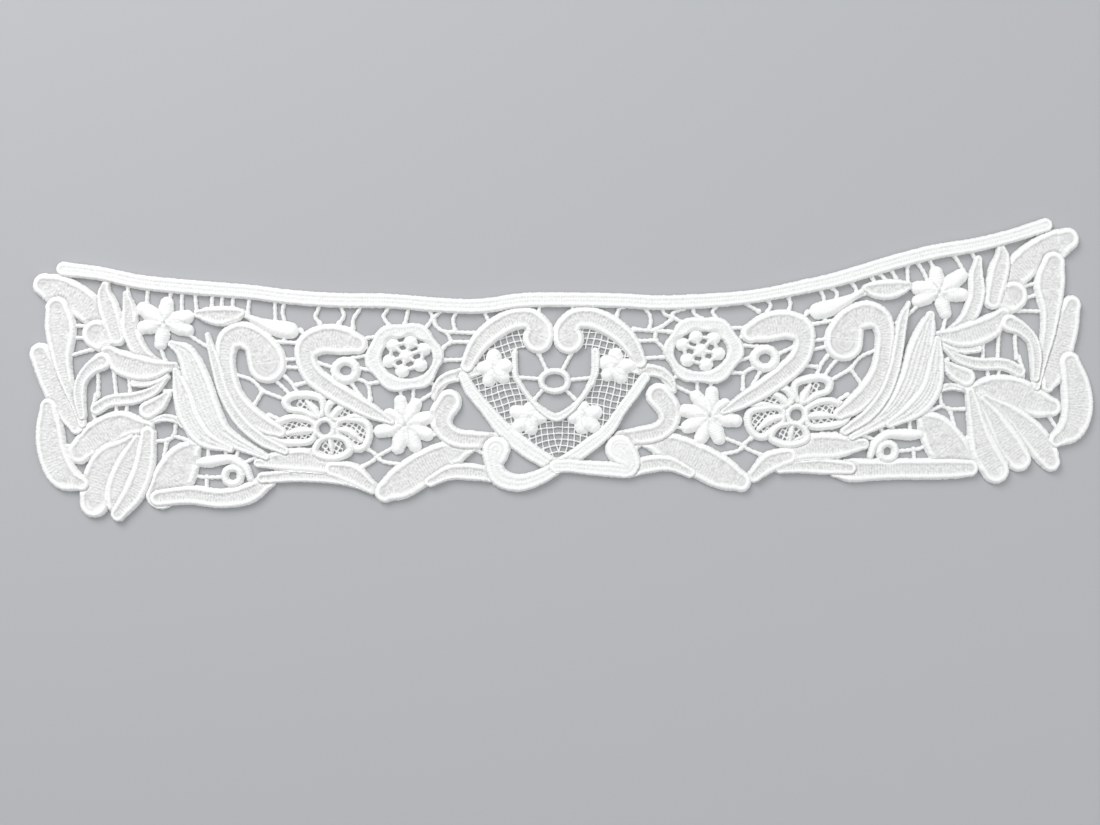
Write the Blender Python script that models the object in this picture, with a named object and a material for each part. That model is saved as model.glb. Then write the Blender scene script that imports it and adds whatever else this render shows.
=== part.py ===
"""A guipure lace collar laid flat: neckband, netted heart, roses, scrolls and leaves joined by bars.

Every motif is a spine with a width, read by eye from the photo's layout, and gets its form here.
The left half is listed. The right half is its mirror image, moved a little where it was laid askew.
"""
import math

import bpy
import numpy as np
from mathutils import Vector
from mathutils.geometry import delaunay_2d_cdt

# Sizes in millimetres
MM_PER_PX = 0.355
TILT = math.radians(2.2)
MIDDLE = (556.0, 380.0)
GROUND_TOP = 1.0
SEAM = 0.3
INSET = 0.2
CUT_BACK = 0.75
RELIEF_BOTTOM = GROUND_TOP + SEAM
RELIEF_RISE = 1.1
RELIEF_EDGE = 0.45
LEAF_MIDDLE = 0.62
DOME_SHOULDER = (0.6, 0.82)
CELL = 0.35
SPINE_STEP = 4.6
BAND_STEP = 9.0
BAR_WIDTH_PX = 3.6
SMALLEST_GAP_LENGTH = 4.0
SMALLEST_GAP_AREA = 4.5
SMALLEST_RELIEF_HOLE = 1.0
GROUND_TOLERANCE = 0.31
RELIEF_TOLERANCE = 0.27
SHORTEST_EDGE = 1.0
GROUND_MARGIN = 0.1
ROW_PLACE = 0.62
ROW_CLEARANCE = 0.42
ROW_LINK_CLEARANCE = 0.3
ROW_SPACING = 0.5
PANEL_WINDOW = (45.0, 35.0)
WHEEL_RING_POINTS = 12
CURL_RING_POINTS = 10
MM = 0.001

# Neckband: x, y, width in photo pixels, the whole length
NECKBAND = [
    (63, 269, 15), (100, 273.5, 14), (140, 282, 15), (200, 288, 15), (250, 292, 15), (290, 297, 15),
    (335, 300, 15), (390, 301, 15), (440, 305, 15), (480, 306, 15), (520, 300.5, 15), (556, 299.5, 15),
    (620, 300.5, 15), (656, 302.5, 15), (692, 301.5, 15), (740, 298, 14), (765, 294.5, 13.5),
    (800, 287.5, 14.5),
    (836, 279.5, 15), (898, 261, 15), (936, 251.5, 15), (975, 245, 14.5), (1013, 235.5, 14),
    (1046, 225, 14.5),
]

# Motifs of the left half, by node: lists of spines, each a list of x, y, full width
MOTIFS = {
    "rose_beads": [],
    "rose": [],
    "ring": [],
    "star_flower": [],
    "daisy": [],
    "pinwheel": [],
    "heart_scroll": [
        [(538, 338, 31), (540, 331, 28), (530, 319, 23), (514, 319, 23), (496, 328, 23), (481, 341, 21),
         (473, 353, 18), (467, 366, 14)],
    ],
    "inner_scroll": [
        [(357, 344, 21), (341, 340, 30), (322, 339.5, 30), (308, 347, 27), (306, 360, 22), (313, 375, 22),
         (330, 388, 22), (350, 400, 20), (372, 412, 16), (392, 422, 7)],
    ],
    "hook_scroll": [
        [(267, 364, 39), (266, 359, 39), (257, 343, 30), (242, 335, 28), (229, 340, 25), (225, 356, 21),
         (226, 375, 22), (233, 396, 22), (246, 412, 22), (262, 424, 20), (280, 432, 12)],
        [(207, 335, 6), (215, 362, 11), (224.5, 395, 12), (240, 421, 13), (262, 440, 13), (285, 451, 9)],
    ],
    "side_curl": [
        [(449, 402, 26), (441, 416, 25), (444, 429, 21), (456, 438, 20), (475, 440, 19), (495, 439, 13)],
        [(434, 398, 6), (436, 388, 9), (445, 379, 12), (456, 375.5, 13), (468, 373, 13), (480, 371, 8)],
    ],
    "bar_leaf": [
        [(385, 492, 22), (402, 482, 34), (425, 467, 35), (450, 454, 29), (464, 448, 19), (478, 444, 10)],
        [(430, 482, 11), (450, 472.5, 16), (470, 472, 18), (490, 474.5, 16)],
    ],
    "feather": [
        [(171, 344, 8), (185, 353, 19), (196, 378, 27), (208.5, 411, 26), (223, 434, 20), (266, 457, 8)],
        [(175, 370, 7), (182, 393, 20), (189, 417, 23), (204, 438, 20), (230, 449, 8)],
    ],
    "border_b": [
        [(262, 478, 12), (300, 475.5, 14), (336, 478, 13), (356, 484, 10), (372, 491, 8)],
        [(258, 463, 10), (285, 460, 23), (312, 461, 25), (334, 468, 17)],
        [(333, 469, 17), (352, 474, 23), (371, 487, 14)],
    ],
    "border_a": [[(158, 498, 18), (190, 495, 20), (220, 498.5, 20), (248, 493.5, 22), (268, 480, 17)]],
    "small_curl": [
        [(199, 462.5, 9), (208, 462, 12), (220, 460, 11), (231, 459, 10), (239, 463, 10), (246, 469, 9),
         (250, 479, 7)],
    ],
    "almond_leaf": [[(198, 314, 9), (208, 315, 17), (220, 316, 21), (232, 315, 18), (241, 313, 9)]],
    "club_leaf": [[(243, 314, 5), (256, 321, 9), (271, 327, 15), (283, 329.5, 18), (290, 330.5, 17)]],
    "bud_sprays": [
        [(97, 334, 31), (101, 336, 32)],
        [(105, 285, 9), (104, 294, 15), (108, 308, 22), (117, 337, 18)],
        [(126, 294, 8), (129, 310, 15), (130, 328, 18), (139, 350, 17), (155, 363, 12), (176, 368, 6)],
        [(108, 352, 15), (122, 363, 26), (147, 369, 25), (173, 366, 9)],
        [(102, 361, 19), (91, 368, 15), (81, 381, 13), (79, 397, 13), (82, 416, 9)],
    ],
    "end_curl": [
        [(96, 409, 13), (110, 401, 13), (135, 398, 13), (153, 391, 11), (167, 377, 6)],
        [(134, 383, 9), (150, 381, 12), (165, 374, 7)],
        [(148, 410, 20), (158, 404, 17), (167, 395, 9)],
    ],
    "leaf_b": [[(57, 308, 25), (60, 328, 32), (61, 357, 21), (66, 380, 15), (74, 400, 12), (82, 424, 9)]],
    "leaf_a": [[(44, 285, 24), (58, 291, 33), (80, 302, 32), (98, 317, 28), (110, 328, 16)]],
    "leaf_c": [
        [(40, 354, 23), (49, 374, 27), (62, 404, 25), (76, 428, 14)],
        [(48, 407, 18), (49, 428, 28), (52, 452, 31), (63, 475, 30), (82, 484, 15)],
    ],
    "end_fan": [
        [(147, 427, 14), (120, 426, 31), (96, 438, 34), (79, 452, 25)],
        [(132, 441, 14), (109, 462, 35), (97, 487, 35), (94, 503, 30)],
        [(138, 440, 12), (127, 465, 24), (118, 490, 26), (116, 504, 20)],
        [(148, 434, 16), (144, 466, 22), (134, 492, 23), (118, 514, 16)],
    ],
    "bell_leaf": [
        [(196, 444, 12), (183, 460, 34), (172, 480, 42), (161, 493, 33)],
        [(150, 422, 7), (163, 418, 8), (176, 420, 8), (187, 429, 8), (194, 441, 9)],
    ],
}

# Spines of the right half that differ from the mirror image, where they lie in the photo
RIGHT_OWN = {
    "end_fan": [
        [(970, 390, 12), (992, 388, 26), (1015, 393, 34), (1036, 403, 30), (1052, 407, 20)],
        [(985, 398, 8), (1010, 414, 20), (1032, 434, 28), (1046, 453, 26), (1051, 462, 20)],
        [(976, 396, 8), (992, 416, 18), (1007, 442, 28), (1019, 459, 26)],
        [(970, 392, 10), (976, 420, 18), (984, 450, 28), (996, 470, 28)],
    ],
    "leaf_c": [
        [(1072, 305, 20), (1065, 325, 30), (1058, 350, 32), (1052, 372, 28), (1048, 386, 14)],
        [(1070, 362, 22), (1076, 385, 30), (1078, 408, 32), (1072, 428, 28), (1056, 440, 16)],
    ],
    "border_a": [
        [(970, 468, 18), (955, 468.5, 21), (930, 469, 22), (895, 469, 22), (868, 470, 23),
         (850, 470.5, 24), (836, 470, 16)],
    ],
    "hook_scroll": [
        [(844, 342, 39), (844.5, 337, 39), (851, 321, 30), (867, 314.5, 29), (880, 319, 25),
         (885.5, 333, 21),
         (884.5, 350, 20), (881, 371, 22), (871, 389, 23), (856, 404, 21), (840, 414, 13)],
        [(909, 303, 5), (903, 320, 11), (899, 345, 12), (894, 370, 13), (884, 395, 14), (868, 415, 14),
         (845, 431, 10)],
    ],
    "feather": [
        [(931, 315, 9), (927, 328, 19), (921, 350, 28), (912, 380, 28), (901, 401, 26), (886, 416, 20),
         (852, 437, 8)],
        [(938, 339, 8), (936, 363, 18), (931, 388, 23), (917, 407, 22), (890, 424, 9)],
    ],
    "border_b": [
        [(850, 468, 14), (822, 466, 18), (800, 466, 15), (780, 468, 12)],
        [(864, 444, 12), (836, 446, 26), (808, 447, 26), (786, 455, 18)],
        [(788, 456, 18), (770, 462, 22), (754, 476, 14)],
    ],
}

# How the right half lies: x, y on the left half, then how far its mirror image moved, in pixels
AS_LAID = [
    (404, 356, -3, 6), (346, 369, 0, 4), (404, 426, 0, 3), (325, 429, 6.5, 4.5), (267, 361, 1, 0),
    (218, 314, 2, -1), (163, 324, -3, -1), (34, 280, 9, -7), (33, 348, 3, -12), (34, 440, 8, 2),
    (113, 521, -8, -4), (153, 507, 4, -1), (99, 336, 3, -3), (372, 492, 6, 3), (448, 401, -6, 2),
    (495, 450, -1, 3), (538, 338, -2, 2), (464, 474, 0, -1),
]
LAID_REACH = 16.0
LAID_HOLD = 90.0

# Flowers: centre x, y, then each petal's tip x, y and width
STAR = (
    164, 323,
    [(167, 297, 16), (193, 315, 17), (193, 332, 15), (159, 350, 15), (136, 329, 16), (137, 305, 17)],
)
DAISY = (
    404.5, 425,
    [(399, 395, 15), (418, 399, 15), (433, 416, 16), (433, 437, 16),
     (418, 452, 16), (396, 454, 16), (374, 433, 16), (384, 411, 15)],
)
CROSSES = {
    "heart_cross_a": (495, 368, [(493, 349, 17), (486, 386, 16), (507, 382, 16), (476, 368, 16),
        (512, 365, 17)]),
    "heart_cross_b": (529, 417.5, [(510, 409, 16), (531, 402, 17), (547, 417, 16), (532, 435, 17),
        (514, 430, 16)]),
    "heart_cross_c": (584, 416, [(582, 401, 17), (602, 410, 16), (567, 418, 16), (581, 434, 17),
        (598, 431, 16)]),
    "heart_cross_d": (616, 367, [(615, 348, 17), (599, 360, 17), (603, 379, 16), (624, 383, 16),
        (636, 365, 16)]),
}
PETAL_START = (0.12, 0.45)
PETAL_MIDDLE = 0.55
PETAL_END = (0.4, 0.86)

# Rose: the scalloped outside and the round inside, each a centre and half axes, and the beads in it
ROSE_CENTRE = (404, 357)
ROSE_OUTER = (38.5, 34.5)
ROSE_INNER_CENTRE = (407, 358)
ROSE_INNER = (25.5, 20.5)
ROSE_POINTS = 36
ROSE_SCALLOPS = 6
SCALLOP_DEPTH = 1.8
SCALLOP_TURN = 0.6
BEADS = [(406, 356), (392.5, 345), (410, 342), (424, 349), (420, 365), (402, 371), (389, 361)]
BEAD_WIDTH = 13.6
BEAD_THREAD = 4.2

# Rings: centre x, y, half axes of the ring's middle line, width of its band
RING = (345.5, 370.5, 10.7, 9.6, 9.5)
CURL_RING = (232.5, 476, 8.5, 8, 8)
HEART_RING = (554.6, 381, 13.7, 10.2, 6.5)
WHEEL_RING = (324.5, 428.5, 9.0, 9.0, 6.0)

# Petal loops of the pinwheel: x, y of the loop's middle line, then its width
WHEEL_PETALS = [
    [(314, 424, 7), (300, 418, 8), (286, 419, 8), (273, 427, 8),
     (270, 434, 8), (276, 441, 8), (292, 443, 8), (312, 440, 7)],
    [(316, 417, 6), (302, 411, 7), (289, 409, 7), (285, 402, 9),
     (292, 396, 9), (308, 395, 9), (321, 399, 8), (322, 414, 6)],
    [(327, 414, 6), (330, 403, 8), (339, 398, 9), (351, 397, 8),
     (362, 403, 8), (367, 413, 8), (352, 417, 7), (338, 420, 6)],
    [(338, 422, 6), (354, 420, 7), (367, 424, 8), (369, 436, 8),
     (364, 447, 8), (356, 449, 8), (348, 442, 7), (338, 434, 6)],
    [(335, 437, 6), (345, 440, 7), (350, 450, 8), (340, 457, 8),
     (326, 458, 8), (315, 453, 8), (317, 444, 7), (324, 438, 6)],
]

# Padded leaf in the middle of each petal, and what the net of each petal covers
WHEEL_LEAVES = [
    [(315, 431, 5), (300, 431, 9), (285, 434, 4)], [(319, 419, 5), (314, 410, 9), (306, 401, 4)],
    [(331, 419, 5), (337, 411, 9), (345, 404, 4)], [(336, 429, 5), (350, 432, 9), (361, 441, 4)],
    [(329, 438, 4), (331, 446, 6), (332, 454, 3)],
]
WHEEL_NETS = [
    [(316, 430, 14), (286, 431, 24)], [(318, 420, 12), (304, 404, 16)], [(332, 418, 14), (349, 409, 20)],
    [(336, 428, 12), (356, 434, 24)], [(328, 440, 14), (332, 448, 22)],
]

# Heart border: band under the heart, and the two knobs whose tails meet beneath it
HEART_BAND = [
    (463, 376, 11), (471, 391, 13), (485, 408, 13), (501, 427, 16), (521, 445, 18), (544, 460, 16),
    (557, 465, 14),
    (568, 460, 14), (590, 445, 15), (609, 429, 13), (621, 411, 11), (635, 392, 11), (645, 377, 11),
]
KNOB_LEFT = [(496, 450, 29), (494, 464, 19), (500, 477.5, 20), (519, 483, 18), (540, 477, 16),
(556, 468, 14)]
KNOB_RIGHT = [
    (620, 449, 30), (632, 462, 18), (629, 470.5, 15), (612, 469.5, 16), (590, 468, 15), (570, 466, 14),
    (556, 466, 14),
]
INNER_BAND = [
    (515, 352, 6), (515, 366, 6), (516, 377, 7), (522, 387, 6), (531, 400, 6), (543, 411, 8),
    (556, 417.5, 9),
    (570, 410, 8), (581, 399, 6), (590, 385, 7), (594.5, 374, 8), (595.5, 364, 9), (595.5, 352, 9),
]
HEART_EDGE = [
    (540, 334), (520, 316), (495, 325), (480, 338), (470, 358), (465, 375), (485, 408), (508, 432),
    (545, 458),
    (557, 464), (568, 459), (604, 434), (623, 411), (643, 377), (640, 350), (628, 334), (610, 322),
    (585, 316),
    (567, 334),
]
OPENING = [
    (533, 346), (515, 350), (515, 376), (522, 388), (531, 400), (543, 411), (556, 417), (570, 410),
    (581, 399), (590, 385), (594, 374), (594, 352), (578, 346), (556, 334),
]

# Bars from the neckband to the motifs below it, as they lie in the photo: each a list of x, y
NECK_BARS = [
    [(127, 285), (127, 298)], [(147, 287), (146, 303)], [(170, 291), (169, 300)], [(181, 290), (181, 312)],
    [(194, 291), (196, 312)], [(211.5, 292), (211, 308)], [(221.5, 293), (221, 308)], [(232, 293),
     (232, 308)],
    [(249, 294), (247, 314)], [(274, 297), (275, 324)], [(285, 298), (282, 312), (286, 326)],
    [(319, 302), (317, 311), (314.5, 316.5), (320, 324)], [(340, 303), (341.5, 310), (343.5, 315.5),
     (338, 324)],
    [(361, 303), (358.5, 310), (353, 319), (352.5, 328)], [(389, 304), (386, 311), (383, 316.5),
     (388.5, 325)],
    [(409, 303), (406.5, 316), (404.5, 324)], [(426, 306), (431, 314), (433, 318)], [(444, 308),
     (437, 314), (433, 318)],
    [(433, 318), (426, 327)], [(433, 318), (436, 326), (443, 331), (456, 332), (478, 333)],
    [(457, 310), (453, 319), (455, 331)], [(481, 306), (489, 322)], [(447, 333), (451, 341)],
    [(441, 350), (446, 345), (453, 342), (470, 342)], [(443, 360), (466, 359.5)], [(540, 300), (538, 322)],
    [(572, 300), (574, 322)], [(625, 306), (619, 309), (617, 316)], [(644, 307), (650, 315), (651, 322),
     (649, 330)],
    [(662, 307), (665, 314), (673, 317)], [(684, 308), (673, 313), (673, 317)], [(673, 317), (682, 322)],
    [(673, 318), (664, 325), (654, 330)], [(634, 329), (650, 330.5), (664, 331), (672, 332)],
    [(656, 331), (656, 340), (664, 348)], [(638, 341), (656, 340)], [(644, 358), (664, 357)],
    [(693, 308), (695, 314), (703, 319)], [(716, 306), (713, 312), (719, 320)], [(746, 303), (752, 307),
     (759, 311)],
    [(767, 299), (771, 305), (768, 312)], [(789, 297), (791, 304), (789, 311)], [(820, 289), (824, 296),
     (825, 304)],
    [(832, 287), (838, 294), (834, 303)], [(852, 282), (857, 290), (855, 298)], [(857, 297), (866, 293)],
    [(873, 278), (877, 283)], [(881, 274), (888, 281)], [(892, 270), (897, 278)], [(908, 265), (909, 285)],
    [(918, 262), (925, 273), (929, 283)], [(930, 259), (934, 267)], [(955, 255), (962, 266), (967, 275)],
    [(973, 253), (978, 262)],
]

# Bars between the motifs of the left half: each a list of x, y
BARS = [
    [(426, 380), (436, 386)], [(358, 342), (366, 338), (376, 337)], [(356, 348), (366, 347)],
    [(352, 358), (368, 355)], [(316, 362), (334, 368)], [(358, 368), (374, 371)],
    [(356, 378), (367, 384), (370, 400)], [(367, 384), (378, 382)], [(351, 383), (360, 396)],
    [(399, 386), (401, 398)], [(413, 386), (413, 400)], [(418, 402), (434, 392)],
    [(232, 374), (251, 380), (262, 391)], [(262, 391), (253, 406)], [(262, 391), (288, 401)],
    [(270, 341), (298, 343)], [(284, 359.5), (300, 359)], [(284, 367), (303, 368)],
    [(284, 376), (291, 383), (298, 394)], [(272, 378), (284, 389), (292, 398)], [(296, 385), (313, 380)],
    [(366, 448), (376, 457), (362, 467)], [(376, 457), (396, 446)], [(376, 457), (384, 462), (408, 465)],
    [(268, 415), (286, 422)], [(286, 330), (283, 342)], [(64, 325), (90, 326)], [(66, 337), (88, 338)],
    [(70, 356), (92, 349)], [(94, 368), (97, 376), (97, 396)], [(112, 364), (116, 402)],
    [(127, 364), (130, 400)], [(114, 398), (117, 424)], [(127, 398), (124, 424)],
    [(152, 441.5), (166, 440.5)], [(166, 440.5), (173, 436), (175, 424)], [(173, 436), (190, 441)],
    [(166, 440.5), (164, 452), (161, 468)], [(60, 446), (72, 446)], [(164, 391), (180, 391)],
    [(178, 327), (196, 340), (212, 350)], [(189, 315), (200, 314)], [(159, 346), (165, 362)],
    [(141, 330), (130, 334)], [(150, 300), (160, 305)],
    [(190, 462), (200, 463)], [(207.5, 446), (207.5, 460)], [(225, 446), (225, 458)], [(235, 459),
     (238, 449)],
    [(242, 464), (256, 457)], [(190, 473), (200, 477), (212, 477.5), (224, 477)], [(206, 477), (206, 490)],
    [(250, 478), (250, 490)], [(233, 484), (235, 492)], [(240, 466), (238, 476)],
    [(488, 428), (506, 432)], [(470, 440), (480, 452)], [(473, 448), (486, 456), (492, 468)],
    [(496, 476), (480, 474)], [(436, 396), (452, 376)], [(466, 366), (480, 369)], [(284, 452), (300, 450)],
    [(262, 425), (276, 438)], [(364, 486), (384, 492)], [(240, 315), (246, 316)], [(462, 372), (456, 374)],
    [(430, 436), (444, 432)], [(300, 330), (312, 345)], [(72, 452), (62, 470)], [(84, 482), (96, 486)],
    [(150, 470), (160, 478)], [(95, 395), (92, 410), (96, 424)],
]

# Spokes from the oval ring to the edge of the opening
SPOKES = [
    [(547, 371), (539, 354)], [(562, 371), (571, 354)], [(542, 379), (516, 377)], [(567, 380),
     (594, 377.5)],
    [(545, 387), (534, 400)], [(564, 388), (575, 399)],
]

# Groups on top of the others come first: what lies lower is cut back along them
ORDER = [
    "neckband", "heart_ring", "heart_inner_band", "heart_cross_a", "heart_cross_b", "heart_cross_c",
    "heart_cross_d",
    "rose_beads", "rose", "ring", "star_flower", "inner_scroll", "heart_scroll", "heart_border", "daisy",
    "hook_scroll", "side_curl", "pinwheel", "bar_leaf", "feather", "small_curl", "border_b", "border_a",
    "almond_leaf", "club_leaf", "bud_sprays", "end_curl", "leaf_b", "leaf_a", "leaf_c", "end_fan",
    "bell_leaf",
]
DOMED = ("rose_beads", "daisy", "star_flower", "heart_cross_a", "heart_cross_b", "heart_cross_c",
"heart_cross_d")
WIDE = 3.4


def laid(x, y):
    """Millimetres on the table for a place in the photo."""
    dx = x - MIDDLE[0]
    dy = y - MIDDLE[1]
    return (
        MM_PER_PX * (dx * math.cos(TILT) - dy * math.sin(TILT)),
        MM_PER_PX * (-dx * math.sin(TILT) - dy * math.cos(TILT)),
    )


def mirrored(x, y):
    """The same place on the right half, moved as that half was laid."""
    total = 1.0 / LAID_HOLD ** 3
    sx = 0.0
    sy = 0.0
    for ax, ay, mx, my in AS_LAID:
        weight = 1.0 / (math.hypot(x - ax, y - ay) ** 2 + LAID_REACH ** 2) ** 1.5
        total += weight
        sx += weight * mx
        sy += weight * my
    mx, my = laid(x, y)
    ox, oy = laid(MIDDLE[0] + sx / total, MIDDLE[1] + sy / total)
    return -mx + ox, my + oy


def smooth(rows, place, step=SPINE_STEP, closed=False):
    """Even points of x, y and half width along a smooth curve through the rows."""
    points = np.array([(*place(x, y), 0.5 * w * MM_PER_PX) for x, y, w in rows])
    if len(points) == 2 and not closed:
        count = max(1, round(np.linalg.norm(points[1, :2] - points[0, :2]) / step))
        return points[0] + (points[1] - points[0]) * np.linspace(0, 1, count + 1)[:, None]
    if closed:
        padded = np.vstack([points[-1:], points, points[:2]])
    else:
        padded = np.vstack([2 * points[0] - points[1], points, 2 * points[-1] - points[-2]])
        padded[[0, -1], 2] = points[[0, -1], 2]
    out = []
    for i in range(1, len(padded) - 2):
        before, start, end, after = padded[i - 1:i + 3]
        length = np.linalg.norm(end[:2] - start[:2])
        into = (end - before) * length / (np.linalg.norm(start[:2] - before[:2]) + length)
        outof = (after - start) * length / (np.linalg.norm(after[:2] - end[:2]) + length)
        count = max(1, round(length / step))
        for t in np.arange(count) / count:
            out.append(
                (2 * t ** 3 - 3 * t ** 2 + 1) * start + (t ** 3 - 2 * t ** 2 + t) * into
                + (3 * t ** 2 - 2 * t ** 3) * end + (t ** 3 - t ** 2) * outof
            )
    out.append(out[0] if closed else padded[-2])
    out = np.array(out)
    out[:, 2] = np.maximum(out[:, 2], 0.3)
    return out


def ellipse(x, y, half_x, half_y, width, count=14):
    """A ring's middle line as rows."""
    turns = np.arange(count) * math.tau / count
    return [(x + half_x * math.cos(t), y + half_y * math.sin(t), width) for t in turns]


def petals(flower, place):
    """Straight spines from a flower's middle to its petal tips, widest near the tip."""
    x, y, tips = flower
    out = []
    for tx, ty, width in tips:
        reach = math.hypot(tx - x, ty - y)
        ex = tx - PETAL_END[0] * width * (tx - x) / reach
        ey = ty - PETAL_END[0] * width * (ty - y) / reach
        near = (x + PETAL_START[0] * (tx - x), y + PETAL_START[0] * (ty - y), PETAL_START[1] * width)
        middle = (x + PETAL_MIDDLE * (ex - x), y + PETAL_MIDDLE * (ey - y), width)
        out.append(smooth([near, middle, (ex, ey, PETAL_END[1] * width)], place))
    return out


def rose_rows():
    """The rose's band: round inside, scalloped outside."""
    rows = []
    for turn in np.arange(ROSE_POINTS) * math.tau / ROSE_POINTS:
        swell = SCALLOP_DEPTH * math.cos(ROSE_SCALLOPS * turn + SCALLOP_TURN)
        ox = ROSE_CENTRE[0] + (ROSE_OUTER[0] + swell) * math.cos(turn)
        oy = ROSE_CENTRE[1] + (ROSE_OUTER[1] + swell) * math.sin(turn)
        ix = ROSE_INNER_CENTRE[0] + ROSE_INNER[0] * math.cos(turn)
        iy = ROSE_INNER_CENTRE[1] + ROSE_INNER[1] * math.sin(turn)
        rows.append(((ox + ix) / 2, (oy + iy) / 2, math.hypot(ox - ix, oy - iy)))
    return rows


def bead_spines(place):
    """Seven beads and the threads that join neighbours."""
    out = []
    for x, y in BEADS:
        out.append(smooth([(x - 0.4, y, BEAD_WIDTH), (x + 0.4, y, BEAD_WIDTH)], place))
    around = BEADS[1:] + BEADS[1:2]
    for (ax, ay), (bx, by) in zip(around[:-1], around[1:]):
        out.append(smooth([(ax, ay, BEAD_THREAD), (bx, by, BEAD_THREAD)], place))
    for x, y in BEADS[1:]:
        out.append(smooth([(x, y, BEAD_THREAD), (*BEADS[0], BEAD_THREAD)], place))
    return out


def bar_spines(bars, place):
    """Spines of the narrow bars."""
    return [smooth([(x, y, BAR_WIDTH_PX) for x, y in bar], place) for bar in bars]


def half_groups(place, side):
    """Spines of every group of one half of the collar."""
    groups = {name: [smooth(rows, place) for rows in lists] for name, lists in MOTIFS.items()}
    if side == "right":
        for name, lists in RIGHT_OWN.items():
            groups[name] = [smooth(rows, laid) for rows in lists]
    groups["ring"] = [smooth(ellipse(*RING), place, closed=True)]
    groups["rose"] = [smooth(rose_rows(), place, closed=True)]
    groups["rose_beads"] = bead_spines(place)
    groups["star_flower"] = petals(STAR, place)
    groups["daisy"] = petals(DAISY, place)
    groups["small_curl"].append(smooth(ellipse(*CURL_RING, count=CURL_RING_POINTS), place, closed=True))
    groups["pinwheel"] = [smooth(rows, place, closed=True) for rows in WHEEL_PETALS]
    groups["pinwheel"] += [smooth(rows, place) for rows in WHEEL_LEAVES]
    groups["pinwheel"].append(smooth(ellipse(*WHEEL_RING, count=WHEEL_RING_POINTS), place, closed=True))
    return groups


def field(spines, x, y):
    """Distance inside the nearest edge, and 0 at a spine to 1 at its edge, for every x and y."""
    inside = np.full(x.shape, -1e3)
    across = np.full(x.shape, 2.0)
    for spine in spines:
        for (ax, ay, ar), (bx, by, br) in zip(spine[:-1], spine[1:]):
            reach = max(ar, br) + 2.5
            near = np.nonzero(
                (x > min(ax, bx) - reach) & (x < max(ax, bx) + reach)
                & (y > min(ay, by) - reach) & (y < max(ay, by) + reach)
            )
            if not len(near[0]):
                continue
            px = x[near] - ax
            py = y[near] - ay
            dx = bx - ax
            dy = by - ay
            t = np.clip((px * dx + py * dy) / max(dx * dx + dy * dy, 1e-9), 0, 1)
            gap = np.hypot(px - t * dx, py - t * dy)
            radius = ar + t * (br - ar)
            better = radius - gap > inside[near]
            inside[near] = np.where(better, radius - gap, inside[near])
            across[near] = np.minimum(across[near], gap / radius)
    return inside, across


def polygon_field(points, x, y):
    """Distance inside a closed polygon, negative outside."""
    winding = np.zeros(x.shape, bool)
    nearest = np.full(x.shape, 1e3)
    for (ax, ay), (bx, by) in zip(points, points[1:] + points[:1]):
        dx = bx - ax
        dy = by - ay
        t = np.clip(((x - ax) * dx + (y - ay) * dy) / (dx * dx + dy * dy), 0, 1)
        nearest = np.minimum(nearest, np.hypot(x - ax - t * dx, y - ay - t * dy))
        if ay != by:
            winding ^= ((ay > y) != (by > y)) & (x < ax + (y - ay) * dx / dy)
    return np.where(winding, nearest, -nearest)


def grid_round(spines, margin=1.5):
    """Sample places covering the spines."""
    points = np.vstack(spines)
    low = (points[:, :2] - points[:, 2:]).min(axis=0) - margin
    high = (points[:, :2] + points[:, 2:]).max(axis=0) + margin
    return np.meshgrid(np.arange(low[0], high[0], CELL), np.arange(low[1], high[1], CELL), indexing="ij")


def contours(value, x, y):
    """Closed loops where the sampled value crosses zero, the positive side on the left."""
    value = np.where(np.abs(value) < 1e-6, 1e-6, value)
    inside = value > 0
    follow = {}
    mixed = inside[:-1, :-1].astype(int) + inside[1:, :-1] + inside[1:, 1:] + inside[:-1, 1:]
    for i, j in zip(*np.nonzero((mixed > 0) & (mixed < 4))):
        corners = [(i, j), (i + 1, j), (i + 1, j + 1), (i, j + 1)]
        leaving = []
        entering = []
        for k in range(4):
            a = corners[k]
            b = corners[(k + 1) % 4]
            if inside[a] and not inside[b]:
                leaving.append((a, b))
            if inside[b] and not inside[a]:
                entering.append((b, a))
        if len(leaving) == 2 and value[i:i + 2, j:j + 2].mean() > 0:
            entering = entering[::-1]
        if len(leaving) == 2 and corners.index(leaving[0][0]) > corners.index(entering[0][0]):
            entering = entering[::-1]
        for out, back in zip(leaving, entering):
            follow[out] = back
    loops = []
    while follow:
        start = next(iter(follow))
        loop = []
        edge = start
        while edge in follow:
            following = follow.pop(edge)
            a, b = edge
            share = value[a] / (value[a] - value[b])
            loop.append((x[a] + share * (x[b] - x[a]), y[a] + share * (y[b] - y[a])))
            edge = following
        if len(loop) > 5:
            loops.append(np.array(loop))
    return loops


def area_of(loop):
    """Signed area of a closed loop."""
    x, y = loop[:, 0], loop[:, 1]
    return 0.5 * float(np.sum(x * np.roll(y, -1) - np.roll(x, -1) * y))


def thinned(loop, tolerance):
    """The loop with only the points that its shape needs."""
    far = int(np.argmax(np.hypot(*(loop - loop[0]).T)))
    keep = {0, far}
    todo = [(0, far), (far, len(loop))]
    ring = np.vstack([loop, loop[:1]])
    while todo:
        a, b = todo.pop()
        if b - a < 2:
            continue
        along = ring[b] - ring[a]
        length = max(float(np.hypot(*along)), 1e-9)
        off = ring[a + 1:b] - ring[a]
        share = np.clip((off @ along) / length ** 2, 0, 1)
        gap = np.hypot(*(off - share[:, None] * along).T)
        worst = int(np.argmax(gap))
        if gap[worst] > tolerance:
            keep.add(a + 1 + worst)
            todo += [(a, a + 1 + worst), (a + 1 + worst, b)]
    points = [loop[k] for k in sorted(keep)]
    out = []
    for point in points:
        if not out or math.hypot(*(point - out[-1])) > SHORTEST_EDGE:
            out.append(point)
    if len(out) > 3 and math.hypot(*(out[0] - out[-1])) < SHORTEST_EDGE:
        out.pop()
    return np.array(out)


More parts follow.
